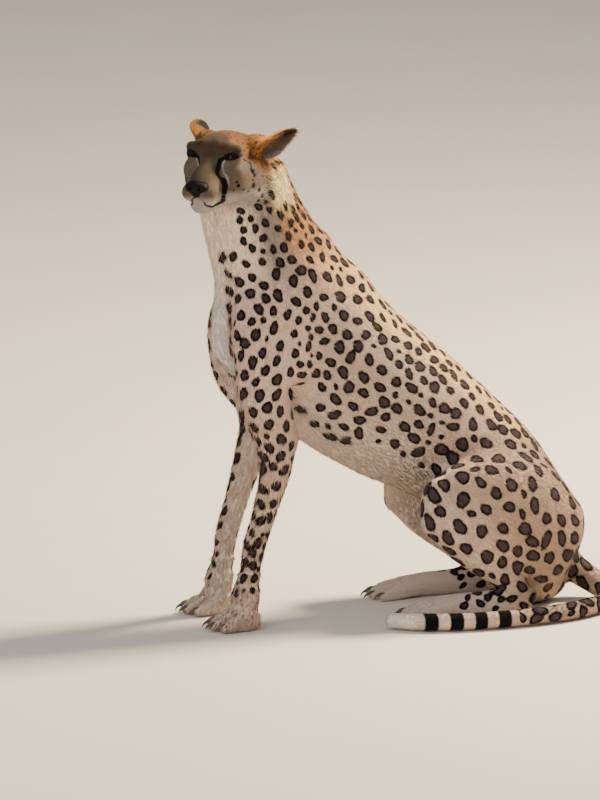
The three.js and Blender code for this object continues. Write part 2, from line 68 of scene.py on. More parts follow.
# ---- sizes, mm and degrees ----
HEAD_TURN = 50
SKULL_JOINT = np.array([15.0, -310.0, 865.0])
SHOULDER_HEIGHT = 520  # above it, a foreleg's path counts as trunk
ELBOW = (86, -250, 352)
WRIST = (76, -290, 152)
PAW_LEAD, ELBOW_LAG = 6, 20
HIP, KNEE, HOCK = (58, 286, 168), (116, 52, 236), (101, 212, 46)
TOE_PLANT = {"fore": -326, "hind": 32}
EYE_CENTRE, EYE_RADIUS = np.array([36.0, 91.0, 33.0]), 15.5
CORNEA_BULGE, WHITE_ANGLE = 0.5, 56  # the angle from the gaze at which the white of the eye begins
LID_RIM_OUT, LID_RIM_HALF = 0.9, 0.9  # the lids' bare rim: how far it is off the eye, and half its thickness
SLIT_HALF, SLIT_ABOVE, SLIT_BELOW, SLIT_TILT = 15, 4.8, 3.6, 8
EAR_WIDTH, EAR_WALL = 58, 3.6
EAR_LENGTH = {1: 74, -1: 80}  # 1 is the left ear, -1 the right
EAR_NECK = {1: 0.3, -1: 0.13}  # how far into the leaf's outline its root is: less is narrower
EAR_ROOT = {1: (58, 13, 34), -1: (-54, 20, 39)}
EAR_AXIS = {1: (0.77, 0.524, 0.361), -1: (-0.42, 0.87, 0.2)}
TOES = {"fore": (17.2, 9.6, 36, 36), "hind": (16, 9, 38, 32)}  # spread, half width, length, height
TOE_FAN, OUTER_TOE_LAG = 3.2, 13
WHISKER_ROWS = (-19, -25, -31)  # up, in the head's frame
WHISKER_TIP, WHISKER_TAPER = 0.02, 0.085  # half its thickness at the tip, and how much more at the root

SEED = np.random.default_rng(41)
DENSITY = 1.0


def hex_colour(code):
    """An sRGB hex colour as linear numbers: each channel is undone from the display curve."""
    c = np.array([int(code[i : i + 2], 16) / 255 for i in (0, 2, 4)])
    return np.where(c <= 0.04045, c / 12.92, ((c + 0.055) / 1.055) ** 2.4)


def smooth(low, high, x):
    """0 below low, 1 above high, and an S curve between."""
    t = np.clip((x - low) / (high - low), 0, 1)
    return t * t * (3 - 2 * t)


def unit(v):
    return v / np.maximum(np.linalg.norm(v, axis=-1, keepdims=True), 1e-9)


def metres(points):
    return (np.asarray(points) + MODEL_TO_FRAME) / 1000


# ---- camera ----
AZIMUTH, ELEVATION = math.radians(73), math.radians(12)
MM_PER_PIXEL, WIDTH_PX, HEIGHT_PX = 1.85, 600, 800
ORIGIN_PX = (392, 610)  # where the modeller's origin falls in the render
CAMERA_AWAY = 40000  # mm from the plane of true scale
MEAN_DEPTH = 110  # mm, that plane's place towards the camera
SENSOR = 36  # mm

cam_back = np.array(
    [math.sin(AZIMUTH) * math.cos(ELEVATION), -math.cos(AZIMUTH) * math.cos(ELEVATION), math.sin(ELEVATION)]
)
cam_right = np.array([math.cos(AZIMUTH), math.sin(AZIMUTH), 0.0])
cam_up = np.cross(cam_back, cam_right)
aim = (
    cam_right * (WIDTH_PX / 2 - ORIGIN_PX[0]) * MM_PER_PIXEL
    + cam_up * (ORIGIN_PX[1] - HEIGHT_PX / 2) * MM_PER_PIXEL
    + cam_back * MEAN_DEPTH
)
camera = bpy.data.objects.new("camera", bpy.data.cameras.new("camera"))
bpy.context.scene.collection.objects.link(camera)
camera.data.sensor_width = SENSOR
camera.data.lens = SENSOR * CAMERA_AWAY / (HEIGHT_PX * MM_PER_PIXEL)
camera.data.clip_end = 100
place = metres(aim + cam_back * CAMERA_AWAY)
axes = [[cam_right[i], cam_up[i], cam_back[i], place[i]] for i in range(3)]
camera.matrix_world = Matrix([*axes, [0, 0, 0, 1]])
bpy.context.scene.camera = camera


# ---- curves and closed surfaces ----


def spline(knots, t):
    """Points at t, 0 to 1, of the centripetal Catmull-Rom curve through the knots: in each span, a cubic
    whose end slopes come from its four nearest knots, spaced by the square roots of their distances."""
    knots = np.asarray(knots, float)
    padded = np.vstack([2 * knots[0] - knots[1], knots, 2 * knots[-1] - knots[-2]])
    where = np.clip(t, 0, 1) * (len(knots) - 1)
    span = np.minimum(where.astype(int), len(knots) - 2)
    w = (where - span)[:, None]
    a, b, c, d = (padded[span + i] for i in range(4))
    d0, d1, d2 = (np.linalg.norm(q - p, axis=1)[:, None] ** 0.5 for p, q in ((a, b), (b, c), (c, d)))
    d1 = np.where(d1 < 1e-4, 1, d1)
    d0, d2 = np.where(d0 < 1e-4, d1, d0), np.where(d2 < 1e-4, d1, d2)
    m1 = ((b - a) / d0 - (c - a) / (d0 + d1) + (c - b) / d1) * d1
    m2 = ((c - b) / d1 - (d - b) / (d1 + d2) + (d - c) / d2) * d1
    return b + w * (m1 + w * (3 * (c - b) - 2 * m1 - m2 + w * (2 * (b - c) + m1 + m2)))


def triangle_corners(points, faces):
    """The first, second and third corners of the triangles."""
    return (points[faces[:, i]] for i in range(3))


def joined(meshes):
    """One mesh of several, each its points and its triangles."""
    shift = np.cumsum([0] + [len(points) for points, _ in meshes[:-1]])
    faces = [faces + first for (_, faces), first in zip(meshes, shift)]
    return np.vstack([points for points, _ in meshes]), np.vstack(faces)


def slices(count, size=20000):
    """The slices of a long array that are worked on one after another, to save memory."""
    return (slice(start, start + size) for start in range(0, count, size))


def closed_skin(start, rows, end):
    """Points and triangles of a closed surface: rings of points, with a pole before them and one after."""
    count, sides = rows.shape[:2]
    i = np.arange(sides)
    j = (i + 1) % sides
    r = 1 + sides * np.arange(count - 1)[:, None]
    last = count * sides + 1
    faces = [np.stack([0 * i, 1 + j, 1 + i], 1)]
    for corners in ((i, j, sides + j), (i, sides + j, sides + i)):
        faces.append(np.stack([(r + c).ravel() for c in corners], 1))
    base = last - sides
    faces.append(np.stack([0 * i + last, base + i, base + j], 1))
    points = np.vstack([[start], rows.reshape(-1, 3), [end]])
    faces = np.vstack(faces)
    a, b, c = triangle_corners(points, faces)
    return points, faces if np.sum(a * np.cross(b, c)) > 0 else faces[:, ::-1]


def tube(
    sections, rings, sides, front=FORWARD, front_end=None, caps=(8, 8), keel=0, ridge=0, bumps=(), grow=0
):
    """A closed tube. A section is x, y, z, half width to the side, half depth to the front and to the back.
    At each point of the splines through them it is an ellipse square to the path, narrowed towards the front
    by keel times sine squared and towards the back by ridge times it. Half-ellipsoid caps close the ends.
    Each bump swells it by push times a bell curve of the distance over reach."""
    s = np.asarray(sections, float)
    cap = np.linspace(0, np.pi / 2, 6)[1:]
    t = np.concatenate([0 * cap, np.linspace(0, 1, rings + 1)[1:-1], 0 * cap + 1])
    flat = np.zeros(rings - 1)
    along = np.concatenate([-(caps[0] + grow) * np.cos(cap), flat, (caps[1] + grow) * np.cos(cap[::-1])])
    scale = np.concatenate([np.sin(cap), flat + 1, np.sin(cap[::-1])])
    tangent = unit(spline(s[:, :3], t + 1e-4) - spline(s[:, :3], t - 1e-4))
    centre = spline(s[:, :3], t) + tangent * along[:, None]
    ends = [np.asarray(front, float), np.asarray(front if front_end is None else front_end, float)]
    facing = ends[0] + (ends[1] - ends[0]) * t[:, None]
    facing = unit(facing - np.sum(facing * tangent, 1)[:, None] * tangent)
    across = np.cross(facing, tangent)
    side, fore, back = spline(s[:, 3:], t).T
    turn = np.linspace(0, 2 * np.pi, sides, endpoint=False)
    cos, sin = np.cos(turn), np.sin(turn)
    narrowing = 1 - keel * np.maximum(0, sin) ** 2 - ridge * np.maximum(0, -sin) ** 2
    wide = (side[:, None] * narrowing + grow) * cos * scale[:, None]
    deep = (np.where(sin > 0, fore[:, None], back[:, None]) + grow) * sin * scale[:, None]
    arm = across[:, None] * wide[..., None] + facing[:, None] * deep[..., None]
    rows, out = centre[:, None] + arm, unit(arm)
    for at, reach, push in bumps:
        away = np.linalg.norm(rows - np.array(at, float), axis=2) / reach
        rows = rows + out * (push * scale[:, None] * np.exp(-away * away))[..., None]
    return closed_skin(
        centre[0] - tangent[0] * (caps[0] + grow + along[0]),
        rows,
        centre[-1] + tangent[-1] * (caps[1] + grow - along[-1]),
    )


# ---- the body's forms, as in the solids ----

TRUNK = [
    (0, 268, 36, 66, 58, 70),  # seat
    (0, 262, 130, 84, 92, 98),
    (0, 205, 235, 84, 108, 105),
    (0, 116, 330, 86, 146, 106),
    (0, 18, 408, 97, 172, 116),
    (0, -76, 478, 104, 180, 124),
    (0, -148, 545, 102, 166, 133),
    (0, -208, 612, 94, 153, 132),
    (2, -246, 686, 80, 107, 122),
    (6, -268, 765, 72, 103, 93),
    (11, -288, 838, 66, 99, 78),  # throat
]
NAPE = [(12, -280, 800, 50, 60, 60), (13, -288, 850, 46, 56, 60), (14, -299, 888, 34, 44, 44)]
PECTORAL = [
    (44, -284, 470, 24, 24, 18),
    (47, -292, 510, 27, 28, 20),
    (48, -295, 550, 28, 28, 20),
    (48, -290, 595, 24, 26, 20),
    (44, -276, 630, 20, 22, 18),
]
BREAST = ((0, -350, 500), 58, 25)
BLADES = (((42, -66, 650), 36, 7), ((-42, -66, 650), 36, 7))


def mirrored(sections, s):
    return [(s * x, *rest) for x, *rest in sections]


def foreleg_sections(s):
    far = 0 if s > 0 else 1
    return mirrored(
        [
            (56, -194, 640, 28, 58, 56),
            (76, -248, 566, 34, 80, 66),
            (84, -262, 506, 37, 74, 80),
            (88, -274 + far * 8, 452, 37, 54, 50),
            (88, -264 + far * 28, 400, 37, 48, 48),
            (ELBOW[0], ELBOW[1] + far * ELBOW_LAG, ELBOW[2], 34, 43, 40),
            (84, -252 + far * 3, 290, 29, 33, 31),
            (80, -272 - far * 3, 210, 23, 26, 22),
            (WRIST[0], WRIST[1] - far * PAW_LEAD, WRIST[2], 23, 22, 22),
            (WRIST[0] - 1, WRIST[1] - 9 - far * PAW_LEAD, 100, 21, 19, 19),
            (WRIST[0] - 2, WRIST[1] - 17 - far * PAW_LEAD, 60, 26, 24, 20),
        ],
        s,
    )


THIGH = [
    (HIP[0], HIP[1] + 14, HIP[2] - 34, 52, 76, 88),
    (80, 228, 178, 62, 103, 104),
    (98, 152, 202, 60, 98, 96),
    (110, 90, 218, 50, 78, 80),
    (KNEE[0], KNEE[1] - 2, KNEE[2] - 12, 38, 50, 58),
]
SHANK = [
    (KNEE[0], KNEE[1] + 12, KNEE[2] - 40, 36, 46, 54),
    (114, 102, 150, 37, 42, 50),
    (108, 154, 98, 29, 30, 36),
    (103, 196, 62, 21, 21, 26),
    (HOCK[0], HOCK[1] + 4, HOCK[2] + 2, 20, 20, 20),
]
SOLE = [
    (HOCK[0], HOCK[1] + 22, 30, 17, 22, 33),
    (HOCK[0], HOCK[1] - 8, 34, 20, 26, 37),
    (100, 150, 29, 20, 19, 32),
    (98, 96, 27, 24, 18, 30),
    (98, TOE_PLANT["hind"] + 20, 24, 31, 15, 27),
]
TAIL_ROUTE = [
    (0, 318, 92), (2, 362, 52), (30, 396, 27), (86, 398, 20), (142, 362, 19), (182, 300, 19),
    (204, 228, 18), (214, 150, 18), (212, 72, 18), (196, 4, 18), (166, -52, 18),
]
TAIL_HALF = [31, 29, 25, 22, 20.5, 20, 19.5, 19.5, 19.5, 20, 18]
TAIL = [(*at, half, half, half + 1) for at, half in zip(TAIL_ROUTE, TAIL_HALF)]


def toe_places(kind, s):
    """For each of a paw's toes: the x of its middle, how far it fans out, its knuckle's y, and its sizes."""
    spread, width, length, height = TOES[kind]
    centre = WRIST[0] if kind == "fore" else 98
    y = TOE_PLANT[kind] - (4 if kind == "hind" else 8 + (0 if s > 0 else PAW_LEAD))
    for place in (-1.5, -0.5, 0.5, 1.5):
        knuckle = y + (OUTER_TOE_LAG if abs(place) > 1 else 0)
        yield s * (centre + place * spread), s * place * TOE_FAN, knuckle, width, length, height


def toe(x, fan, y, w, length, h):
    sections = [
        (x - fan, y + 30, h * 0.62, w * 0.8, h * 0.46, h * 0.5),
        (x, y, h * 0.56, w, h * 0.44, h * 0.56),
        (x + fan, y - length * 0.55, h * 0.42, w * 0.98, h * 0.38, h * 0.48),
        (x + fan * 1.5, y - length, h * 0.3, w * 0.72, h * 0.22, h * 0.34),
    ]
    return tube(sections, 12, 20, front=UP, caps=(8, 7))


def palm(s):
    y = TOE_PLANT["fore"] - (0 if s > 0 else PAW_LEAD)
    x = s * WRIST[0]
    sections = [
        (x, y + 26, 78, 25, 21, 19),
        (x, y + 22, 52, 28, 25, 22),
        (x, y + 14, 26, 33, 30, 30),
        (x, y + 10, 2, 32, 30, 28),
    ]
    return tube(sections, 12, 28, caps=(6, 4))


def foreleg(s):
    far = 0 if s > 0 else 1
    bumps = [((s * 84, -212 + far * ELBOW_LAG, 362), 24, 7), ((s * 96, -186, 500), 34, 6)]
    return tube(foreleg_sections(s), 110, 48, caps=(40, 16), bumps=bumps)


# ---- smooth fields: signed distance, negative inside ----


def ball(p, centre, radii):
    """About the distance to an ellipsoid: k0 (k0 - 1) / k1, where k0 and k1 are the lengths of the place
    over the half sizes and over their squares."""
    q, radii = p - np.array(centre, np.float32), np.array(radii, np.float32)
    k0 = np.linalg.norm(q / radii, axis=-1)
    k1 = np.linalg.norm(q / radii**2, axis=-1)
    return k0 * (k0 - 1) / np.maximum(k1, 1e-6)


def bar(p, start, end, r0, r1):
    """Distance to a round bar whose radius runs from r0 to r1."""
    a, line = np.array(start, np.float32), np.array(end, np.float32) - np.array(start, np.float32)
    t = np.clip((p - a) @ line / (line @ line), 0, 1)
    return np.linalg.norm(p - a - t[..., None] * line, axis=-1) - (r0 + (r1 - r0) * t)


def blend(a, b, k):
    """Union of two distances with a fillet of about k."""
    h = np.maximum(k - np.abs(a - b), 0) / k
    return np.minimum(a, b) - h * h * k / 4


def carve(a, b, k):
    """a with b taken out of it, with a rounded rim of about k."""
    return -blend(-a, b, k)


def turned(start, end):
    """The turn that takes one direction to another, as a 3 by 3 matrix."""
    v = np.cross(start, end)
    m = np.array([[0, -v[2], v[1]], [v[2], 0, -v[0]], [-v[1], v[0], 0]])
    return np.eye(3) + m + m @ m / (1 + np.dot(start, end))


angle = math.radians(HEAD_TURN)
# rows: to its left, forward, up
HEAD_AXES = np.array(
    [[math.cos(angle), math.sin(angle), 0], [math.sin(angle), -math.cos(angle), 0], [0, 0, 1]]
)


def to_head(points):
    return (points - SKULL_JOINT) @ HEAD_AXES.T


def from_head(points):
    return np.asarray(points) @ HEAD_AXES + SKULL_JOINT


def folded_over(points):
    """Places of the head's frame, each moved to the left side."""
    return np.concatenate([np.abs(points[..., :1]), points[..., 1:]], -1)


GAZE = unit(np.array([0.34, 0.93, 0.06]))
tilt = math.radians(SLIT_TILT)
eye_turn = turned(np.array([0.0, 1.0, 0.0]), GAZE)
level, upright = eye_turn @ np.array([1.0, 0, 0]), eye_turn @ UP
SLIT_ACROSS = math.cos(tilt) * level + math.sin(tilt) * upright
SLIT_UPWARDS = -math.sin(tilt) * level + math.cos(tilt) * upright

MOUTH = np.array(
    [(0, 184, -38), (9, 181, -44), (20, 170, -51), (29, 152, -53.5), (35, 133, -50.5), (39, 117, -46)], float
)


def slit(q):
    """How far a place lies outside the almond between the lids: its height over each lid's parabola."""
    d = q - EYE_CENTRE
    u, v, w = d @ SLIT_ACROSS, d @ SLIT_UPWARDS, d @ GAZE
    arch = 1 - (u / SLIT_HALF) ** 2
    return np.maximum(v - SLIT_ABOVE * arch, -v - SLIT_BELOW * arch), w


def head_field(points):
    """The head's flesh in its own frame, folded over so that each form stands on both sides."""
    p = folded_over(points).astype(np.float32)
    d = ball(p, (0, 44, 16), (57, 64, 57))  # braincase
    d = blend(d, ball(p, (0, 84, 30), (40, 32, 36)), 22)  # forehead
    d = blend(d, ball(p, (36, 62, -16), (31, 46, 38)), 20)  # cheek
    d = blend(d, ball(p, (46, 26, -24), (30, 38, 42)), 22)  # ruff
    d = blend(d, bar(p, (46, 92, 4), (58, 46, 8), 13, 14), 16)  # cheekbone
    d = blend(d, ball(p, (0, 0, -4), (58, 46, 60)), 30)  # nape
    d = blend(d, bar(p, (24, 40, -41), (10, 146, -50), 24, 15), 16)  # jaw
    d = blend(d, ball(p, (0, 136, -14), (29, 44, 30)), 14)  # muzzle
    d = blend(d, bar(p, (0, 112, 26), (0, 170, -11), 16, 13), 12)  # bridge of the nose
    d = blend(d, bar(p, (14, 98, 50), (46, 90, 46), 10, 10), 12)  # brow
    d = carve(d, ball(p, (42, 122, 28), (12, 14, 10)), 9)  # inner corner
    d = blend(d, ball(p, (36, 90, 33), (19, 19.5, 18.5)), 7)  # lids
    d = blend(d, ball(p, (17, 157, -25), (18, 24, 19)), 8)  # whisker pad
    d = blend(d, ball(p, (0, 149, -54), (19.5, 23.5, 16)), 11)  # chin
    return blend(d, ball(p, (50, 10, 45), (24, 30, 20)), 18)  # ear root


def face_details(points, d):
    """Cuts the almond between the lids, the fold over the upper lid, the line of the mouth and the furrow
    that runs from the nose down to it."""
    p = folded_over(points)
    almond, out = slit(p)
    d = carve(d, np.maximum(almond - 0.6, 2 - out), 1.2)
    for a, b in zip(MOUTH[:-1], MOUTH[1:]):
        d = carve(d, bar(p, a, b, 1.1, 1.1), 2.2)
    d = carve(d, bar(p, (0, 183, -29), (0, 184, -38), 1.2, 1.4), 2.5)
    crease = np.array([(20, 112, 42), (27, 112, 47.5), (38, 107, 49), (50, 97, 44)])
    for a, b in zip(crease[:-1], crease[1:]):
        d = carve(d, bar(p, a, b, 1.0, 1.0), 3.5)
    return d


def nose_pad(points):
    """The pad with its wings, narrowing down to the lip."""
    p = folded_over(points).astype(np.float32)
    d = ball(p, (0, 174, -10), (17, 12, 7.2))
    d = blend(d, ball(p, (13.5, 174, -12), (8.5, 11, 7)), 6)
    d = blend(d, bar(p, (0, 175, -13), (0, 177.5, -29), 11.5, 3), 6)
    return blend(d, bar(p, (9, 174, -15), (2, 176, -25), 6, 4), 5)


def nose_field(points):
    """The nose leather: its pad, less the nostrils and their slits."""
    p = folded_over(points).astype(np.float32)
    d = nose_pad(p)
    d = carve(d, bar(p, (7.5, 190, -13), (10, 181, -14.5), 3.2, 3.0), 1.5)
    d = carve(d, bar(p, (10, 181, -14.5), (12, 172, -15), 3.0, 1.6), 1.0)
    for a, b in (((9.5, 187, -16), (15.5, 182, -18.5)), ((15.5, 182, -18.5), (21.5, 175, -17))):
        d = carve(d, bar(p, a, b, 1.4, 1.0), 1.2)
    return carve(d, bar(p, (0, 190, -12), (0, 182, -32), 0.7, 0.8), 2.0)


# ---- the flesh on grids ----

GRID_BOXES = (
    # lowest corner, highest corner, pitch: the whole body, the forepaws, the hind paws
    ((-168, -452, -10), (242, 434, 952), 4.4),
    ((-134, -410, -8), (134, -266, 110), 1.9),
    ((-142, -30, -8), (142, 120, 70), 1.9),
)
FILLET = {
    "nape": 30,
    "foreleg": 38,
    "pectoral": 24,
    "thigh": 44,
    "shank": 22,
    "sole": 10,
    "palm": 9,
    "tail": 22,
    "toe": 4,
    "head": 24,
}
REACH = 11  # steps of a grid to each side of a form in which its distance is known


def body_forms():
    """Each form of the body with the fillet that joins it to what came before."""
    yield tube(TRUNK, 130, 72, caps=(40, 30), keel=0.22, ridge=0.12, bumps=(BREAST, *BLADES)), 1
    yield tube(NAPE, 20, 40, caps=(20, 22)), FILLET["nape"]
    for _, s in SIDES:
        yield foreleg(s), FILLET["foreleg"]
        yield tube(mirrored(PECTORAL, s), 24, 32, caps=(20, 20)), FILLET["pectoral"]
        yield tube(mirrored(THIGH, s), 60, 48, front=UP, caps=(46, 30)), FILLET["thigh"]
        yield tube(mirrored(SHANK, s), 50, 40, front=FORWARD, caps=(24, 12)), FILLET["shank"]
        yield tube(mirrored(SOLE, s), 50, 36, front=UP, caps=(14, 12)), FILLET["sole"]
        yield palm(s), FILLET["palm"]
    yield tube(TAIL, 150, 24, front=(0, 0.35, 1), front_end=UP, caps=(10, 16), grow=-3), FILLET["tail"]
    for _, s in SIDES:
        for kind in TOES:
            for place in toe_places(kind, s):
                yield toe(*place), FILLET["toe"]


def level_set(form, low, counts, pitch):
    """Distances to a closed mesh at a grid's points, as far as the reach."""
    points, faces = form
    grid = openvdb.FloatGrid.createLevelSetFromPolygons(
        ((points - low) / pitch).astype(np.float32), triangles=faces.astype(np.uint32), halfWidth=REACH
    )
    values = np.empty(counts, np.float32)
    grid.copyToArray(values)
    return values * pitch


def coat_depth(points):
    """How deep the coat is over the skin, mm: thin on feet and face, deep on the nape and the ruff."""
    h = to_head(points)
    body = 1.6 + 3.0 * smooth(60, 300, points[..., 2])
    face = 5.6 - 4.4 * smooth(10, 100, h[..., 1])
    on_head = smooth(-70, -30, h[..., 2]) * smooth(-60, -20, h[..., 1])
    return body + (face - body) * on_head


def sample_grid(grid, points):
    """Values of a grid at points, weighted from the eight nearest."""
    low, pitch, values = grid
    q = (points - low) / pitch
    base = np.clip(np.floor(q).astype(int), 0, np.array(values.shape) - 2)
    f = np.clip(q - base, 0, 1)
    total = 0
    for corner in range(8):
        o = np.array([corner & 1, corner >> 1 & 1, corner >> 2])
        weight = np.prod(np.where(o, f, 1 - f), axis=1)
        i, j, k = (base + o).T
        total = total + weight * values[i, j, k]
    return total


def grid_points(low, counts, pitch):
    axes = [low[i] + pitch * np.arange(counts[i]) for i in range(3)]
    return np.stack(np.meshgrid(*axes, indexing="ij"), -1)


def build_grids():
    """The body without its head on each grid, its forms joined with fillets."""
    forms = list(body_forms())
    made = []
    for low, high, pitch in GRID_BOXES:
        low, high = np.array(low, float), np.array(high, float)
        counts = tuple(np.ceil((high - low) / pitch).astype(int) + 1)
        total = np.full(counts, REACH * pitch, np.float32)
        for form, fillet in forms:
            points = form[0]
            if (points.min(0) > high).any() or (points.max(0) < low).any():
                continue
            d = level_set(form, low, counts, pitch)
            total = np.where(d > (REACH - 0.1) * pitch, total, blend(total, d, fillet))
        made.append((low, pitch, total))
    return made


GRIDS = build_grids()


def zero_surface(values, background, low, pitch):
    """Points and triangles of the surface where a grid of distances is zero."""
    grid = openvdb.FloatGrid(background=background)
    grid.copyFromArray(values.astype(np.float32))
    points, quads = grid.convertToQuads(isovalue=0.0)
    faces = np.vstack([quads[:, [0, 1, 2]], quads[:, [0, 2, 3]]]).astype(np.int64)
    return points.astype(float) * pitch + low, faces


def flesh(points, details=True):
    """Signed distance to the skin at points: the body's finest grid there, joined to the head, less the
    coat's depth, and cut off flat where it stands on the floor."""
    d = sample_grid(GRIDS[0], points)
    for grid in GRIDS[1:]:
        low, pitch, values = grid
        high = low + pitch * (np.array(values.shape) - 1)
        inside = ((points > low + 3) & (points < high - 3)).all(1)
        if inside.any():
            d[inside] = sample_grid(grid, points[inside])
    d = d + coat_depth(points)
    h = to_head(points)
    near = (h[:, 2] > -130) & (np.abs(h[:, 0]) < 130)
    if near.any():
        head = head_field(h[near]) + coat_depth(points[near])
        both = blend(d[near], head, FILLET["head"])
        d[near] = face_details(h[near], both) if details else both
    return np.maximum(d, 0.9 - points[:, 2])


def refine(points, faces, chosen):
    """Splits the triangles whose corners are all chosen into four, and halves their neighbours along the
    shared edge, so that the surface stays closed."""
    edges = np.sort(np.stack([faces, np.roll(faces, -1, 1)], -1), -1)  # triangle, side, two ends
    cut = chosen[edges].all(-1)
    keys = edges[..., 0] * len(points) + edges[..., 1]
    unique = np.unique(keys[cut])
    ends = np.stack([unique // len(points), unique % len(points)], 1)
    middle = np.where(cut, len(points) + np.searchsorted(unique, keys), -1)
    count = cut.sum(1)
    kept = faces[count == 0]
    f, m = faces[count == 3], middle[count == 3]
    four = [np.stack([f[:, i], m[:, i], m[:, i - 1]], 1) for i in range(3)] + [m]
    one = count == 1
    side = np.argmax(cut[one], 1)
    rows = np.arange(one.sum())
    a, b, c = (faces[one][rows, (side + i) % 3] for i in range(3))
    m = middle[one][rows, side]
    halves = [np.stack([a, m, c], 1), np.stack([m, b, c], 1)]
    return np.vstack([points, points[ends].mean(1)]), np.vstack([kept, *four, *halves])


def settle(points, rounds, chosen=None):
    """Moves points onto the skin: each round goes down the field's slope by its value."""
    chosen = np.ones(len(points), bool) if chosen is None else chosen
    p = points[chosen]
    for _ in range(rounds):
        slope = np.stack([flesh(p + step) - flesh(p - step) for step in 0.6 * np.eye(3)], 1) / 1.2
        length = np.maximum(np.linalg.norm(slope, axis=1), 0.3)
        p = p - slope * (np.clip(flesh(p), -2.5, 2.5) / length**2)[:, None]
    points = points.copy()
    points[chosen] = p
    return points


def relax(points, faces, rounds, strength=0.5):
    """Evens out a mesh: each point goes part of the way to the mean of its neighbours."""
    a, b = faces.ravel(), np.roll(faces, -1, 1).ravel()
    count = np.bincount(a, minlength=len(points))[:, None]
    for _ in range(rounds):
        total = np.stack([np.bincount(a, points[b, i], len(points)) for i in range(3)], 1)
        points = points + strength * (total / count - points)
    return points


def skin_mesh():
    """One closed skin: the zero surface of the field on the coarse grid, with finer triangles on the head,
    the face and the paws, each point settled on the field."""
    low, pitch, values = GRIDS[0]
    places = grid_points(low, values.shape, pitch).reshape(-1, 3)
    d = values.reshape(-1).copy()
    close = np.abs(d) < 40
    h = to_head(places)
    close |= (np.abs(h[:, 0]) < 110) & (h[:, 1] > -110) & (h[:, 1] < 220) & (h[:, 2] > -120)
    d[close] = flesh(places[close], details=False)
    points, faces = zero_surface(d.reshape(values.shape), 40.0, low, pitch)
    a, b, c = triangle_corners(points, faces)
    if np.sum(a * np.cross(b, c)) < 0:
        faces = faces[:, ::-1]
    points = relax(points, faces, 2)
    points = settle(points, 1)
    h = to_head(points)
    paws = (points[:, 2] < 70) & (points[:, 1] < 90) & (np.abs(points[:, 0]) < 142)
    points, faces = refine(points, faces, ((h[:, 1] > -45) & (h[:, 2] > -85)) | paws)
    points = relax(points, faces, 1)
    points = settle(points, 1)
    h = to_head(points)
    points, faces = refine(points, faces, (h[:, 1] > 78) & (h[:, 2] > -75))
    h = to_head(points)
    fine = ((h[:, 1] > -50) & (h[:, 2] > -90)) | ((points[:, 2] < 76) & (points[:, 1] < 96))
    points = settle(points, 2, fine)
    return points, faces


skin_points, skin_faces = skin_mesh()


def vertex_normals(points, faces):
    a, b, c = triangle_corners(points, faces)
    n = np.cross(b - a, c - a)
    total = np.zeros_like(points)
    for i in range(3):
        for axis in range(3):
            total[:, axis] += np.bincount(faces[:, i], n[:, axis], len(points))
    return unit(total)


skin_normals = vertex_normals(skin_points, skin_faces)

# ---- the lie of the coat ----


def path_samples(sections, reverse=False, count=40):
    """Places along a form's path, the direction that hair takes there, and the form's half size."""
    s = np.array(sections, float)
    t = np.linspace(0, 1, count)
    along = unit(spline(s[:, :3], t + 1e-3) - spline(s[:, :3], t - 1e-3))
    size = spline(s[:, 3:], t).mean(1)
    return spline(s[:, :3], t), -along if reverse else along, size


FORELEG_PATHS = (1, 5)  # where the forelegs stand among the paths
THIGH_LIE = unit(np.array([0, 0.55, -0.83]))
lie_paths = [path_samples(TRUNK, reverse=True, count=60)]
for _, s in SIDES:
    lie_paths += [path_samples(foreleg_sections(s)), path_samples(mirrored(SHANK, s), count=16)]
    thigh = path_samples(mirrored(THIGH, s), count=16)
    lie_paths += [(thigh[0], thigh[1] * 0 + THIGH_LIE, thigh[2])]
    lie_paths += [path_samples(mirrored(SOLE, s), count=16)]
lie_paths += [path_samples(TAIL, count=50)]
LIE_AT, LIE_ALONG, LIE_SIZE = (np.concatenate([path[i] for path in lie_paths]) for i in range(3))
IS_FORELEG = np.concatenate(
    [np.full(len(path[0]), 1.0 * (i in FORELEG_PATHS)) for i, path in enumerate(lie_paths)]
)
IS_FORELEG[LIE_AT[:, 2] > SHOULDER_HEIGHT] = 0


def near_forms(points, values, sharpness=4):
    """The mean of values over the forms' paths, weighted by a bell curve of distance over the form's size."""
    total = np.zeros((len(points), values.shape[1]))
    for part in slices(len(points)):
        at = points[part]
        gap = ((at**2).sum(1)[:, None] + (LIE_AT**2).sum(1) - 2 * at @ LIE_AT.T) / LIE_SIZE**2
        weight = np.exp(-sharpness * (gap - gap.min(1, keepdims=True)))
        total[part] = weight @ values / weight.sum(1, keepdims=True)
    return total


def lie(points, normals):
    """Unit directions in which the coat lies: along the nearest forms' paths, and on the head backwards from
    the nose. They are turned into the surface."""
    total = near_forms(points, LIE_ALONG)
    h = to_head(points)
    from_nose = (h - np.array([0, 176, -6])) @ HEAD_AXES
    on_head = (smooth(14, 2, head_field(h)) * smooth(-95, -60, h[:, 2]) * smooth(-50, -10, h[:, 1]))[:, None]
    total = unit(total) * (1 - on_head) + unit(from_nose) * on_head
    return unit(total - np.sum(total * normals, 1)[:, None] * normals)


# ---- markings ----

trunk_t = np.linspace(0, 1, 160)
trunk_array = np.array(TRUNK, float)
TRUNK_AT = spline(trunk_array[:, :3], trunk_t)
trunk_along = unit(spline(trunk_array[:, :3], trunk_t + 1e-3) - spline(trunk_array[:, :3], trunk_t - 1e-3))
TRUNK_FRONT = unit(FORWARD - np.sum(FORWARD * trunk_along, 1)[:, None] * trunk_along)


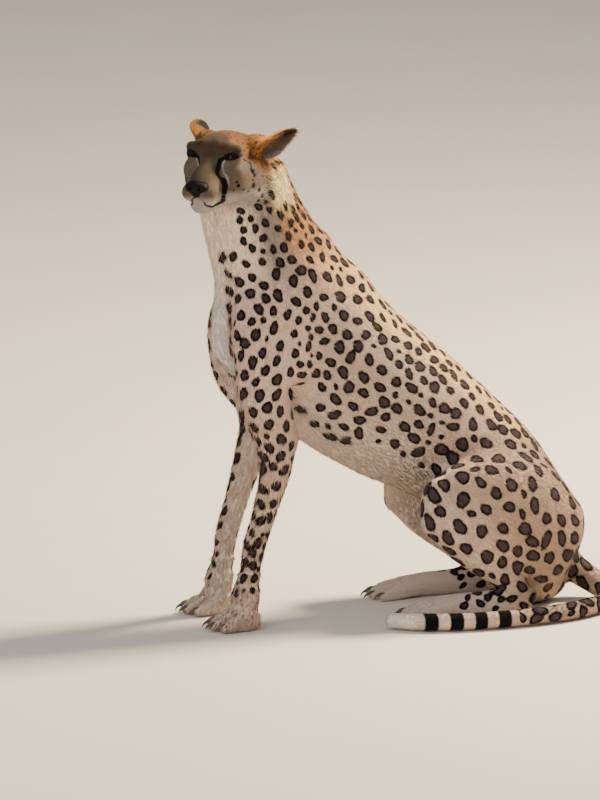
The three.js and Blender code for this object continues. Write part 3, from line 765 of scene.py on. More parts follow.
def on_trunk(points):
    """Places on the trunk: 0 at the seat to 1 at the throat, and -1 at the spine to 1 at the belly."""
    t, front = np.empty(len(points)), np.empty(len(points))
    for part in slices(len(points)):
        gap = points[part, None] - TRUNK_AT[None]
        nearest = (gap**2).sum(2).argmin(1)
        rows = np.arange(len(nearest))
        t[part] = trunk_t[nearest]
        front[part] = np.sum(unit(gap[rows, nearest]) * TRUNK_FRONT[nearest], 1)
    return t, front


COLOUR = {
    name: hex_colour(code)
    for name, code in {
        "flank": "D2BAAA",
        # spine: a warmer band, partly real and partly painted sunlight on the back
        "spine": "FAD6A2",
        "nape": "D6A06A",
        # neck: painted shadow, the grey on the sides of the neck behind the ruff
        "neck": "A0938A",
        "belly": "D8C6B8",
        "chest": "EDE4E0",
        # throat: white, made brighter and warmer as painted light from a warm bounce
        "throat": "FFE8D2",
        "leg": "D8BEAB",
        "shoulder": "E5C8B8",
        "crown": "6E4A23",
        # forehead, bridge, cheek and muzzle: the face's tones, darkened in part as painted shade
        "forehead": "46382A",
        # painted shadow in the furrows over the brow
        "frown_shadow": "33231A",
        "bridge": "40382A",
        "cheek": "675A4D",
        # pale fur by the tear line, its blue-grey partly a painted highlight
        "under_eye_pale_and_highlight": "8C948C",
        "muzzle": "5C4F42",
        "chin": "A69B94",
        "lip": "5F5254",
        "ruff": "F6E6AC",
        "ear_back": "A9713A",
        # the ear's pale hollow, darkened to grey-brown as painted shade
        "ear_inside_shaded": "7F6858",
        "tail_tip": "EDE4D8",
        "thigh": "B59C88",
        "ear_patch": "2E211A",
        # painted glow: the orange of light shining through the ear, low in its hollow
        "ear_hollow_glow": "C0854C",
        # painted sheen: the purple-grey middle of each spot stands for sky light on black hair
        "spot_middle_sheen": "4A3C41",
        "dark": "0A0605",
    }.items()
}


def mixed(a, b, w):
    return a + (b - a) * w[:, None]


def painted(ground, *layers):
    """The ground colour with layers over it, each a colour's name and its weight at each place."""
    tone = COLOUR[ground][None]
    for name, weight in layers:
        tone = mixed(tone, COLOUR[name], weight)
    return tone


# mm along Y: where the tail's rings start, their step and half width
RINGS_FROM, RING_STEP, RING_HALF = -11, 46, 12.5


def on_ringed_tail(points):
    """Whether places are on the last part of the tail, beside the feet: it has rings and a white tip."""
    x, y, z = points.T
    return (x > 138) & (z < 46) & (y < 178)


def ruff_patch(h):
    """Weight of the pale ruff behind the cheeks. It reaches further back on the left."""
    left, forward, up = np.abs(h[:, 0]), h[:, 1], h[:, 2]
    behind = smooth(18, -8, forward) * smooth(8, -16, up) * smooth(54, 66, left)
    reach = np.where(h[:, 0] > 0, smooth(-74, -34, forward), smooth(-50, -14, forward))
    return behind * reach * smooth(-98, -58, up)


def crown_edge(h):
    """How far forward the orange of the crown comes, by height and by distance from the middle."""
    left, up = np.abs(h[:, 0]), h[:, 2]
    edge = np.interp(up, [-25, -14, 4, 25, 42, 56, 68], [-10, 6, 50, 68, 86, 90, 70])
    return np.where(left < 26, np.minimum(edge, 58 + 0.8 * left), edge)


def fold_signs(h):
    """What folds directions over with their places: -1 or 1 to the side, and 1 forward and up."""
    return np.column_stack([np.sign(h[:, :1]) + (h[:, :1] == 0), np.ones((len(h), 2))])


def toned(points, normals):
    """The coat's ground colour at places, without its markings: fawn on the flanks, warmer and lighter along
    the spine, partly as painted sunlight, a painted shadow on the sides of the neck, paler to white below, the
    throat and the ruff warmed by painted light, orange on the crown, and grey-tan on the face, darkened there
    by painted shade, with painted shadow in the furrows over the brow, a pale band with a painted highlight by
    the tear line and painted sunlight round the ear's root."""
    t, front = on_trunk(points)
    h = to_head(points)
    x, y, z = points.T
    shoulder = smooth(-140, -210, y) * smooth(400, 460, z) * smooth(670, 610, z)
    shoulder = shoulder * smooth(-0.6, -0.3, front) * smooth(-60, 20, x)
    keel = front + 0.045 * smooth(10, -30, x)
    neck = smooth(0.74, 0.84, t)
    legs = near_forms(points, IS_FORELEG[:, None], 2)[:, 0]
    inner = smooth(0.1, 0.75, -np.sign(x) * normals[:, 0])
    tone = painted(
        "flank",
        # partly painted sunlight: the back lighter and creamier along the spine
        ("spine", smooth(-0.55, -0.92, front)),
        ("belly", smooth(0.5, 0.9, front)),
        ("shoulder", shoulder),
        ("chest", smooth(0.93, 0.995, keel) * smooth(0.45, 0.6, t)),
        # painted shadow on the sides of the neck
        ("neck", neck * smooth(0.35, 0.0, front)),
        ("nape", smooth(0.6, 0.9, t) * smooth(-0.15, -0.75, front)),
        # partly painted light: the white throat brightened and warmed as by a warm bounce
        ("throat", neck * smooth(0.1, 0.6, front)),
        ("thigh", smooth(360, 290, z) * smooth(0, 60, y) * smooth(0.7, 0.2, front)),
        ("leg", legs * (1 - shoulder)),
        ("belly", legs * inner * 0.7),
        ("tail_tip", smooth(-5, -25, y) * smooth(140, 155, x)),
        # the pale ruff, yellowed in part as painted sunlight
        ("ruff", ruff_patch(h)),
    )

    left, forward, up = np.abs(h[:, 0]), h[:, 1], h[:, 2]
    on_head = smooth(22, 3, head_field(h)) * smooth(-92, -60, up)
    edge = crown_edge(h)
    ear_base = np.linalg.norm(h - np.array(EAR_ROOT[1]), axis=1)
    folded = folded_over(h)
    corner = np.linalg.norm(folded - [30, 117, -44], axis=1)
    bridge = smooth(26, 13, left) * smooth(-20, -6, up) * smooth(42, 12, up) * smooth(80, 100, forward)
    beside = to_line(folded, normals @ HEAD_AXES.T * fold_signs(h), FACE_LINES[0])
    # a pale band beside the tear line: partly real pale fur, partly a painted highlight
    strip = smooth(0, 2.5, 4.5 + 3 * np.exp(-(((up - 4) / 9) ** 2)) - beside)
    strip *= smooth(0, 3, left - np.interp(up, [-26, -5, 4, 20, 33], [31, 29.5, 23.5, 21, 23]))
    # the face's tones are darkened in part as painted shade
    face = painted(
        "cheek",
        # the pale ruff, yellowed in part as painted sunlight
        ("ruff", smooth(14, -6, forward) * smooth(4, -12, up) * smooth(56, 64, left)),
        ("forehead", smooth(20, 40, up) * smooth(-4, 6, forward - edge)),
        ("crown", smooth(5, -5, forward - edge) * smooth(-32, 0, up + 0.4 * forward) * smooth(-30, -16, up)),
        # painted sunlight: the ear's orange-brown spread over the head round the ear's root, lighter than the
        # shade there, which also blends the ear into the head
        ("ear_back", 0.8 * smooth(34, 16, ear_base)),
        ("muzzle", smooth(96, 126, forward) * smooth(16, 2, up) * smooth(-40, -26, up)),
        ("bridge", bridge),
        # painted shadow in the furrows over the brow
        ("frown_shadow", 0.45 * smooth(6, 1, to_line(folded, 0 * folded, FROWN_SHADOW))),
        # pale fur by the tear line, partly a painted highlight
        ("under_eye_pale_and_highlight", strip * smooth(-24, -10, up) * smooth(30, 25, up) * smooth(82, 94, forward)),
        ("chin", smooth(-24, -44, up) * smooth(14, 40, forward)),
        ("lip", smooth(10, 5, corner)),
    )
    return mixed(tone, face, on_head)


# Marks of the face in the head's frame, folded over: points of a line with its half width, mm.
TEAR_LINE = np.array(
    [
        (23, 113.5, 33, 3.2), (22.6, 114.5, 28.5, 4.6), (20.8, 116, 20, 5.6), (20.6, 118.5, 11, 6.4),
        (23.5, 126, 4, 7), (29.5, 119.5, -5, 6.8), (31.2, 113.5, -12.6, 6.6), (31.4, 111.5, -19.4, 6.2),
        (31.2, 112, -26.4, 5.8), (31.4, 113.5, -33, 5.4), (31.8, 118, -41, 5.2), (32.5, 122, -47, 4.4),
    ]
)


def lid_line(edge, beyond, widths):
    """A lid's dark line: points beyond its parabola, on a ball just over the eye, with half widths."""
    u = np.linspace(-SLIT_HALF, SLIT_HALF, 9)
    v = (edge + beyond) * (1 - (u / SLIT_HALF) ** 2)
    depth = np.sqrt(np.maximum((EYE_RADIUS + 2) ** 2 - u**2 - v**2, 1))
    at = EYE_CENTRE + u[:, None] * SLIT_ACROSS + v[:, None] * SLIT_UPWARDS + depth[:, None] * GAZE
    return np.column_stack([at, widths])


LID_LINE = lid_line(SLIT_ABOVE, 1.8, [3.2, 3.2, 2.9, 2.6, 2.3, 2.1, 2, 2, 1.8])
LID_TAIL = np.array(
    [(*LID_LINE[-1, :3], 2), (54, 82, 36, 2), (57, 76, 30.5, 1.8), (62, 68, 17.5, 1.7), (67, 72, 9, 1.7)]
)
LOWER_LID_LINE = lid_line(-SLIT_BELOW, -1, [2.4, 1.6, 1.2, 1.0, 0.9, 0.9, 1, 1.1, 1.4])
TEAR_LINE[0, :3] = LID_LINE[0, :3]
LIP_LINE = np.column_stack([MOUTH, [1.6, 1.6, 1.5, 2, 3.4, 3]])
# Painted shadow in the furrows over the brow: points of a line with its half width, mm.
FROWN_SHADOW = np.array([(12, 52, 72, 1.5), (17, 72, 69, 3), (21, 90, 63, 3), (26, 105, 55, 2)])
FACE_SPOTS = np.array(
    [
        (68, 73, 7, 4.5), (70, 68, 2, 5), (71, 62, -6, 4), (69, 64, -25, 5.5), (52, 100, -19, 3.5),
        (50, 103, -12, 2.5), (72, 44, -37, 5), (69, 30, -50, 4.5), (75, 12, -47, 5), (62, 75, -35, 3),
        (62, 32, -58, 3.5), (75, 34, -12, 2.5), (75, 20, -16, 2.5), (78, 6, -17, 2.5), (57, 88, -28, 2.5),
        (46, 108, -30, 2), (66, 66, -14, 2.5),
    ],
    float,
)


def across_skin(gap, normals, depth=9):
    """Length of gaps along the surface: what is square to it counts only past a depth."""
    off = np.sum(gap * normals, 1)
    return np.linalg.norm(gap - off[:, None] * normals, axis=1) + np.maximum(np.abs(off) - depth, 0) * 2


def to_line(points, normals, line):
    """Distance along the surface outside a line of points with half widths."""
    best = np.full(len(points), 99.0)
    for a, b in zip(line[:-1], line[1:]):
        step = b[:3] - a[:3]
        t = np.clip((points - a[:3]) @ step / (step @ step), 0, 1)
        gap = across_skin(points - a[:3] - t[:, None] * step, normals)
        best = np.minimum(best, gap - (a[3] + (b[3] - a[3]) * t))
    return best


def on_skin(line):
    """Moves points of the head's frame onto the skin, and keeps their half widths."""
    settled = to_head(settle(from_head(line[:, :3]), 5))
    return np.column_stack([settled, line[:, 3]])


FACE_LINES = [on_skin(line) for line in (TEAR_LINE, LID_LINE, LID_TAIL, LOWER_LID_LINE, LIP_LINE)]
FACE_SPOTS = on_skin(FACE_SPOTS)


# Marks of the face and the tail count as no deeper than this, so that their middles stay dark.
PLAIN_DARK = -2
UNMARKED = 30.0  # mm, the distance from a marking where there is none


def face_marks(h, normals):
    """Distance outside the nearest mark of the face: the lids' lines, the tear line down to the corner of the
    mouth, the lips, the small spots of the cheeks, and the dark skin round the nose leather."""
    fold = fold_signs(h)
    folded, n = h * fold, normals @ HEAD_AXES.T * fold
    best = nose_pad(folded) - 1.2
    for line in FACE_LINES:
        best = np.minimum(best, to_line(folded, n, line))
    for spot in FACE_SPOTS:
        best = np.minimum(best, across_skin(folded - spot[:3], n) - spot[3])
    unbroken = to_line(folded, 0 * folded, FACE_LINES[0][8:])  # the tear line over the folds at the mouth
    return np.maximum(np.minimum(best, unbroken), PLAIN_DARK)


CROWN_SPACING = 15  # mm between the specks of the crown


def spot_spacing(points, normals):
    """Distance between neighbouring spots at places, mm, and where there are any: 36 on the thighs, 29.5 on
    the flanks, less on the spine, the neck, the legs and in a chain behind each shoulder, and least on the
    crown and the forefeet."""
    t, front = on_trunk(points)
    h = to_head(points)
    x, y, z = points.T
    spacing = 36 - 6.5 * smooth(280, 360, z)
    spacing -= 2.5 * smooth(-150, -220, y) * smooth(430, 500, z) + 2 * smooth(-0.5, -0.9, front)
    spacing -= 5.5 * smooth(640, 800, z)
    spacing -= 8 * np.exp(-(((y + 190) / 22) ** 2)) * smooth(455, 500, z) * smooth(650, 600, z)
    spacing -= 12 * smooth(420, 160, z) * smooth(-150, -200, y)
    spacing -= 14 * smooth(110, 30, z) * smooth(60, 0, y - 200) * smooth(150, 110, np.abs(x))
    plain = smooth(0.72, 0.9, front) * smooth(0.5, 0.4, t)  # belly
    plain = np.maximum(plain, smooth(0.9, 0.98, front) * smooth(0.4, 0.5, t))  # breast
    plain = np.maximum(plain, smooth(0.4, 0.8, front) * smooth(0.8, 0.88, t))  # throat
    leg = near_forms(points, IS_FORELEG[:, None])[:, 0]
    plain = plain * (1 - leg) + leg * smooth(0.2, 0.6, -np.sign(x) * normals[:, 0])  # inside of the forelegs
    crown = (h[:, 1] < crown_edge(h) - 6) & (h[:, 1] > -30) & (h[:, 2] > 16)
    spacing[crown & (head_field(h) < 9)] = CROWN_SPACING
    plain = np.maximum(plain, (head_field(h) < 9) & (h[:, 2] > -84) & ~crown)
    plain = np.maximum(plain, on_ringed_tail(points))
    plain = np.maximum(plain, ruff_patch(h) > 0.5)
    plain = np.maximum(plain, (z < 16) & (normals[:, 2] < -0.3))
    return spacing, plain < 0.5


def sample_surface(points, faces, normals, weights, count, uv=None):
    """Random places on a mesh: triangles drawn by area times weight, then even within each."""
    a, b, c = triangle_corners(points, faces)
    share = np.linalg.norm(np.cross(b - a, c - a), axis=1) * weights
    total = np.cumsum(share)
    picked = np.searchsorted(total, SEED.random(count) * total[-1])
    picked = np.minimum(picked, len(faces) - 1)
    u, v = SEED.random((2, count))
    flip = u + v > 1
    u, v = np.where(flip, 1 - u, u), np.where(flip, 1 - v, v)
    w = np.stack([1 - u - v, u, v], 1)
    corner = faces[picked]
    at = np.einsum("nk,nkj->nj", w, points[corner])
    n = unit(np.einsum("nk,nkj->nj", w, normals[corner]))
    place = None if uv is None else np.einsum("nk,nkj->nj", w, uv[picked])
    return at, n, place


# Plain places at the left elbow: x, y, z and radius.
PLAIN_PLACES = ((103, -229, 442, 30), (85, -190, 423, 36), (96, -207, 380, 30))
SPOT_GAP, SMALL_GAP = 0.85, 0.8  # the widest gaps left by the large spots and by all spots, in spacings
LARGE_SPOT, SMALL_SPOT, SPECK = 0.376, 0.22, 0.14  # mean half width in spacings
SPOT_PLACES = 60000  # random places that spots are chosen from
SPOT_DEPTH = 14  # mm off a spot's own plane within which the coat still counts as in it
SPACING_STEP = 1.15  # how much wider than its neighbour's a spot's spacing counts, at most
TURN_COUNTS = 900  # added to the square of a distance, mm, where the surface turns by a right angle
RIM_WAVES = ((2, 0.06), (3, 0.05), (5, 0.03))  # turns of each wave round a spot, and its height


def place_spots():
    """Spreads spots evenly over the coat: from many random places, each next spot is the one furthest from
    all spots so far, measured in that place's spacing, with a turn of the surface counted as distance. Large
    spots come first and small ones fill the widest gaps that they leave. Gives their centres, normals and
    two half axes, the longer one near the lie of the coat."""
    even = np.ones(len(skin_faces))
    at, n, _ = sample_surface(skin_points, skin_faces, skin_normals, even, SPOT_PLACES)
    spacing, spotted = spot_spacing(at, n)
    for *place, radius in PLAIN_PLACES:
        spotted &= ((at - place) ** 2).sum(1) > radius**2
    at, n, spacing = at[spotted], n[spotted], spacing[spotted]
    gap = np.full(len(at), 1e9)
    chosen, large = [], []
    while gap.max() > SMALL_GAP:
        furthest = int(gap.argmax())
        chosen.append(furthest)
        large.append(gap[furthest] > SPOT_GAP)
        away = ((at - at[furthest]) ** 2).sum(1) + TURN_COUNTS * (1 - n @ n[furthest])
        step = np.minimum(spacing, spacing[furthest] * SPACING_STEP)
        gap = np.minimum(gap, np.sqrt(np.maximum(away, 0)) / step)
    at, n, spacing = at[chosen], n[chosen], spacing[chosen]
    share = np.where(large, LARGE_SPOT, SMALL_SPOT) * SEED.uniform(0.84, 1.14, len(at))
    specks = spacing < CROWN_SPACING + 1  # on the crown and the forefeet
    share[specks] = SPECK
    stretch = np.where(specks, 1.05, SEED.uniform(1.04, 1.3, len(at)))
    turn = SEED.normal(0, 0.45, len(at))[:, None]
    along = lie(at, n)
    across = np.cross(n, along)
    longer = along * np.cos(turn) + across * np.sin(turn)
    shorter = across * np.cos(turn) - along * np.sin(turn)
    half = spacing * share
    return at, n, [longer * (half * stretch)[:, None], shorter * (half / stretch)[:, None]]


spot_at, spot_normal, spot_axes = place_spots()
spot_half = [np.linalg.norm(axis, axis=1) for axis in spot_axes]
spot_wave = SEED.uniform(0, 2 * np.pi, (len(spot_at), len(RIM_WAVES)))


def coat_marks(points, normals):
    """Distance outside the nearest marking, mm. A spot's rim is an ellipse pushed in and out by waves of
    two, three and five turns."""
    best = np.full(len(points), UNMARKED)
    order = np.argsort(points[:, 2])
    heights = points[order, 2]
    for i, at in enumerate(spot_at):
        a, b = spot_half[0][i], spot_half[1][i]
        reach = max(a, b) * 1.3 + 3  # past its rim's highest wave
        first, last = np.searchsorted(heights, [at[2] - reach, at[2] + reach])
        band = order[first:last]
        close = band[(np.abs(points[band, :2] - at[:2]) < reach).all(1)]
        if not len(close):
            continue
        d = points[close] - at
        off = np.abs(d @ spot_normal[i])
        u, v = d @ spot_axes[0][i] / a**2, d @ spot_axes[1][i] / b**2
        turn = np.arctan2(v, u)
        rim = 1
        for (turns, height), phase in zip(RIM_WAVES, spot_wave[i]):
            rim = rim + height * np.cos(turns * turn + phase)
        gap = (np.hypot(u, v) - rim) * math.sqrt(a * b) + np.maximum(off - SPOT_DEPTH, 0)
        best[close] = np.minimum(best[close], gap)
    h = to_head(points)
    close = (head_field(h) < 16) & (h[:, 1] > -40)
    best[close] = np.minimum(best[close], face_marks(h[close], normals[close]))
    y = points[:, 1]
    ring = np.abs((y - RINGS_FROM) % RING_STEP - RING_STEP / 2) - RING_HALF
    return np.where(on_ringed_tail(points), np.maximum(np.maximum(ring, -y - 4), PLAIN_DARK), best)


# ---- materials ----


NOISE, VORONOI = "ShaderNodeTexNoise", "ShaderNodeTexVoronoi"
MIX, RANGE, BUMP = "ShaderNodeMixRGB", "ShaderNodeMapRange", "ShaderNodeBump"
PLACE, TINT, VALUES = "ShaderNodeTexCoord", "ShaderNodeVertexColor", "ShaderNodeAttribute"


def add_node(tree, kind, values=None, links=None, **settings):
    """Adds a node with its own settings, the numbers of its sockets, and links from other nodes' sockets."""
    node = tree.nodes.new(kind)
    for name, value in settings.items():
        setattr(node, name, value)
    for socket, value in (values or {}).items():
        node.inputs[socket].default_value = value
    for socket, source in (links or {}).items():
        tree.links.new(source, node.inputs[socket])
    return node


def new_material(name):
    material = bpy.data.materials.new(name)
    material.use_nodes = True
    material.node_tree.nodes.clear()
    return material, material.node_tree


def rgba(colour):
    return (*[float(c) for c in colour], 1.0)


def two_colours(first, second):
    return {"Color1": rgba(hex_colour(first)), "Color2": rgba(hex_colour(second))}


def shade(tree, values, links):
    shader = add_node(tree, "ShaderNodeBsdfPrincipled", values, links)
    add_node(tree, "ShaderNodeOutputMaterial", links={"Surface": shader.outputs[0]})


SPOT_EDGE = 0.9  # mm to each side of a spot's rim over which its black fades in
# The spots' middles are a painted sheen of sky light on their black hair.
SPOT_CORE = (-3.6, -6.4)  # mm inside a spot's rim over which its black turns to the browner middle


HAIR_GLOSS = {"Specular IOR Level": 0.1, "Sheen Weight": 0.03, "Sheen Roughness": 0.5}


def hair_material():
    """Guard hair: matt and soft keratin, with a faint sheen at grazing angles. Its colour is its root's."""
    material, tree = new_material("keratin guard hair, lying flat")
    tint = add_node(tree, TINT, layer_name="tint")
    shade(tree, {**HAIR_GLOSS, "Roughness": 0.75, "IOR": 1.55}, {"Base Color": tint.outputs["Color"]})
    return material


def under_coat_material():
    """Short under fur on the hide: ground colour, the markings' crisp rims, and a nap of strands that are
    drawn 1.2 mm wide, coarser than real ones, so that they show."""
    material, tree = new_material("under fur on hide, dense short nap")
    tint = add_node(tree, TINT, layer_name="tint")
    rim = add_node(tree, VALUES, attribute_name="marking").outputs["Fac"]
    falls = []
    for low, high in ((-SPOT_EDGE, SPOT_EDGE), SPOT_CORE[::-1]):
        ends = {"From Min": low, "From Max": high, "To Min": 1.0, "To Max": 0.0}
        falls.append(add_node(tree, RANGE, ends, {"Value": rim}))
    inside, core = falls
    place = add_node(tree, PLACE)
    strands = add_node(tree, NOISE, {"Scale": 1000 / 1.2, "Detail": 3.0}, {"Vector": place.outputs["Object"]})
    # black at the rims, and the middle's painted sheen
    darks = {"Color1": rgba(COLOUR["dark"]), "Color2": rgba(COLOUR["spot_middle_sheen"])}
    mark = add_node(tree, MIX, darks, {"Fac": core.outputs[0]})
    layers = {"Fac": inside.outputs[0], "Color1": tint.outputs["Color"], "Color2": mark.outputs[0]}
    colour = add_node(tree, MIX, links=layers)
    bump = add_node(tree, BUMP, {"Strength": 0.5, "Distance": 0.0008}, {"Height": strands.outputs["Fac"]})
    look = {"Base Color": colour.outputs[0], "Normal": bump.outputs["Normal"]}
    shade(tree, {**HAIR_GLOSS, "Roughness": 0.85, "IOR": 1.5}, look)
    return material


def leather_material():
    """Bare nose leather: black-brown, damp, with the 1.1 mm pebbles of a cat's nose."""
    material, tree = new_material("bare nose leather, damp and pebbled")
    place = add_node(tree, PLACE)
    pebbles = add_node(tree, VORONOI, {"Scale": 1000 / 1.1}, {"Vector": place.outputs["Object"]})
    blotch = add_node(tree, NOISE, {"Scale": 1000 / 9.0, "Detail": 2.0}, {"Vector": place.outputs["Object"]})
    colour = add_node(tree, MIX, two_colours("080705", "12100D"), {"Fac": blotch.outputs["Fac"]})
    height = {"Height": pebbles.outputs["Distance"]}
    bump = add_node(tree, BUMP, {"Strength": 0.45, "Distance": 0.0004}, height)
    look = {"Base Color": colour.outputs[0], "Normal": bump.outputs["Normal"]}
    shade(tree, {"Roughness": 0.66, "Specular IOR Level": 0.16, "IOR": 1.42}, look)
    return material


# How far from the middle of the pupil to the white each colour of the eye comes.
EYE_RINGS = (
    (0.0, "050404"), (0.22, "070504"), (0.26, "6A4218"), (0.5, "AD7430"),
    (0.72, "7F5020"), (0.86, "2A190D"), (0.92, "2B211A"), (1.0, "4A3A2E"),
)


def eye_material():
    """A wet eye: a black pupil, an amber iris streaked from its middle, a dark rim, brown white-of-eye, all
    under the clear gloss of the cornea."""
    material, tree = new_material("wet cornea over amber iris")
    ring = add_node(tree, VALUES, attribute_name="ring")
    place = add_node(tree, PLACE)
    streaks = add_node(tree, NOISE, {"Scale": 1000 / 1.4, "Detail": 4.0}, {"Vector": place.outputs["Object"]})
    ramp = add_node(tree, "ShaderNodeValToRGB", links={"Fac": ring.outputs["Fac"]})
    while len(ramp.color_ramp.elements) < len(EYE_RINGS):
        ramp.color_ramp.elements.new(0.5)
    for element, (at, code) in zip(ramp.color_ramp.elements, EYE_RINGS):
        element.position, element.color = at, rgba(hex_colour(code))
    ends = {"From Min": 0.3, "From Max": 0.7, "To Min": 0.75, "To Max": 1.2}
    dim = add_node(tree, RANGE, ends, {"Value": streaks.outputs["Fac"]})
    layers = {"Color1": ramp.outputs["Color"], "Color2": dim.outputs[0]}
    colour = add_node(tree, MIX, {"Fac": 1.0}, layers, blend_type="MULTIPLY")
    cornea = {"Coat Weight": 1.0, "Coat Roughness": 0.02, "Coat IOR": 1.376}
    shade(tree, {"Roughness": 0.25, "IOR": 1.376, **cornea}, {"Base Color": colour.outputs[0]})
    return material


def horn_material():
    """Claw horn: dark, worn to a dull gloss, with faint lengthwise bands."""
    material, tree = new_material("claw horn, worn")
    place = add_node(tree, PLACE)
    bands = add_node(tree, NOISE, {"Scale": 1000 / 2.5, "Detail": 3.0}, {"Vector": place.outputs["Object"]})
    colour = add_node(tree, MIX, two_colours("2C231D", "6B5A4A"), {"Fac": bands.outputs["Fac"]})
    bump = add_node(tree, BUMP, {"Strength": 0.3, "Distance": 0.0003}, {"Height": bands.outputs["Fac"]})
    look = {"Base Color": colour.outputs[0], "Normal": bump.outputs["Normal"]}
    shade(tree, {"Roughness": 0.38, "IOR": 1.54}, look)
    return material


def floor_material():
    """Matt painted floor, pale and warm, with a mottling so faint that it only breaks up the flatness."""
    material, tree = new_material("matt floor paint, pale")
    place = add_node(tree, PLACE)
    mottle = add_node(tree, NOISE, {"Scale": 3.0, "Detail": 5.0}, {"Vector": place.outputs["Object"]})
    colour = add_node(tree, MIX, two_colours("D9D2C6", "DFD9CE"), {"Fac": mottle.outputs["Fac"]})
    shade(tree, {"Roughness": 0.85}, {"Base Color": colour.outputs[0]})
    return material


HAIR, UNDER_COAT, LEATHER = hair_material(), under_coat_material(), leather_material()
EYE, HORN = eye_material(), horn_material()
UNDER_COAT_SHADE = 0.9  # of the tufts' colour, because less light comes down to it

# ---- meshes ----


def add_piece(name, points, faces, material, slot, replaced=()):
    """Makes a mesh of points in mm that rides on the body and hides the solids it stands for; the slot it is
    given is not used.
    """
    mesh = bpy.data.meshes.new(name)
    corners = faces.shape[1]
    mesh.vertices.add(len(points))
    mesh.vertices.foreach_set("co", metres(points).astype(np.float32).ravel())
    mesh.loops.add(faces.size)
    mesh.loops.foreach_set("vertex_index", faces.astype(np.int32).ravel())
    mesh.polygons.add(len(faces))
    mesh.polygons.foreach_set("loop_start", np.arange(0, faces.size, corners, dtype=np.int32))
    mesh.polygons.foreach_set("use_smooth", np.ones(len(faces), bool))
    mesh.update(calc_edges=True)
    mesh.materials.append(material)
    piece = bpy.data.objects.new(name, mesh)
    bpy.context.scene.collection.objects.link(piece)
    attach(piece, "root")
    if replaced:
        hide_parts(*replaced)
    return piece


def set_tint(piece, colours):
    layer = piece.data.color_attributes.new("tint", "FLOAT_COLOR", "POINT")
    opaque = np.column_stack([colours, np.ones(len(colours))])
    layer.data.foreach_set("color", opaque.astype(np.float32).ravel())


def set_values(piece, name, values):
    piece.data.attributes.new(name, "FLOAT", "POINT").data.foreach_set("value", values.astype(np.float32))


FLESH_NODES = [n for n in frame["nodes"] if not n.startswith(("eye", "ear", "nose", "claw"))]
skin = add_piece("skin", skin_points, skin_faces, UNDER_COAT, "coat", FLESH_NODES)
set_tint(skin, toned(skin_points, skin_normals) * UNDER_COAT_SHADE)
set_values(skin, "marking", coat_marks(skin_points, skin_normals))


def unwrap(piece):
    """Cuts a mesh into flat islands for its own OFBake map, and gives each triangle's corners on it."""
    piece.data.uv_layers.new(name="OFBake")
    for other in bpy.context.view_layer.objects:
        other.select_set(False)
    piece.select_set(True)
    bpy.context.view_layer.objects.active = piece
    bpy.ops.object.mode_set(mode="EDIT")
    bpy.ops.mesh.select_all(action="SELECT")
    bpy.ops.uv.smart_project(angle_limit=math.radians(72), island_margin=0.0006, scale_to_bounds=True)
    bpy.ops.object.mode_set(mode="OBJECT")
    uv = np.empty(len(piece.data.loops) * 2, np.float32)
    piece.data.uv_layers["OFBake"].data.foreach_get("uv", uv)
    return uv.reshape(-1, 3, 2)


skin_uv = unwrap(skin)


# ---- the coat ----

TUFTS_A_PIECE = 48000  # of four triangles each
TUFT_COUNT, EAR_TUFT_COUNT = int(330000 * DENSITY), int(7500 * DENSITY)
FLOOR_GAP = 0.35  # mm, kept between the coat and the floor
ROOT_DEPTH = 0.6  # mm that a tuft starts below the skin
EAR_TUFT_WIDTH = 1.1
# A tuft's corners are two at the top of its root, one below them, and its tip.
TUFT_FACES = np.array([[0, 1, 3], [1, 2, 3], [2, 0, 3], [0, 2, 1]])
TUFT_ON_MAP = np.array([[-0.0013, -0.0008], [0.0013, -0.0008], [0, -0.0013], [0, 0.0015]])
TUFT_SHADES = np.array([0.86, 0.86, 0.8, 1.07])  # each corner's share of the tuft's colour


def add_tufts(name, roots, normals, uv, length, width, lift, colours, slot, along, spread=0.16):
    """Tufts as thin spikes of four faces: a wide top face and two lower ones that run to a tip, closed at
    the root. Each leans the way that along gives, raised by lift and swung sideways at random by spread."""
    count = len(roots)
    lean = lift * SEED.uniform(0.55, 1.3, count)
    swing = SEED.normal(0, spread, count)
    side = np.cross(along, normals)
    d = unit(along * np.cos(lean)[:, None] + normals * np.sin(lean)[:, None] + side * swing[:, None])
    side = unit(np.cross(d, normals))
    roll = SEED.normal(0, 0.3, count)[:, None]
    side = unit(side + normals * roll)
    length = (length * SEED.uniform(0.75, 1.2, count))[:, None]
    half = (width * SEED.uniform(0.75, 1.25, count) / 2)[:, None]
    base = roots - normals * ROOT_DEPTH
    tip = base + d * length
    corners = np.stack([base - side * half, base + side * half, base - normals * half * 0.8, tip], 1)
    corners[..., 2] = np.maximum(corners[..., 2], FLOOR_GAP)
    order = np.argsort(roots[:, 2] * 0.7 - roots[:, 1] * 0.7)
    for number, chosen in enumerate(slices(count, TUFTS_A_PIECE), 1):
        part = order[chosen]
        faces = (TUFT_FACES[None] + 4 * np.arange(len(part))[:, None, None]).reshape(-1, 3)
        piece = add_piece(f"{name}_{number}", corners[part].reshape(-1, 3), faces, HAIR, slot)
        set_tint(piece, np.clip((colours[part][:, None] * TUFT_SHADES[None, :, None]).reshape(-1, 3), 0, 1))
        layer = piece.data.uv_layers.new(name="OFBake")
        place = (uv[part][:, None] + TUFT_ON_MAP[TUFT_FACES.ravel()][None]).reshape(-1, 2)
        layer.data.foreach_set("uv", np.clip(place, 0, 1).astype(np.float32).ravel())


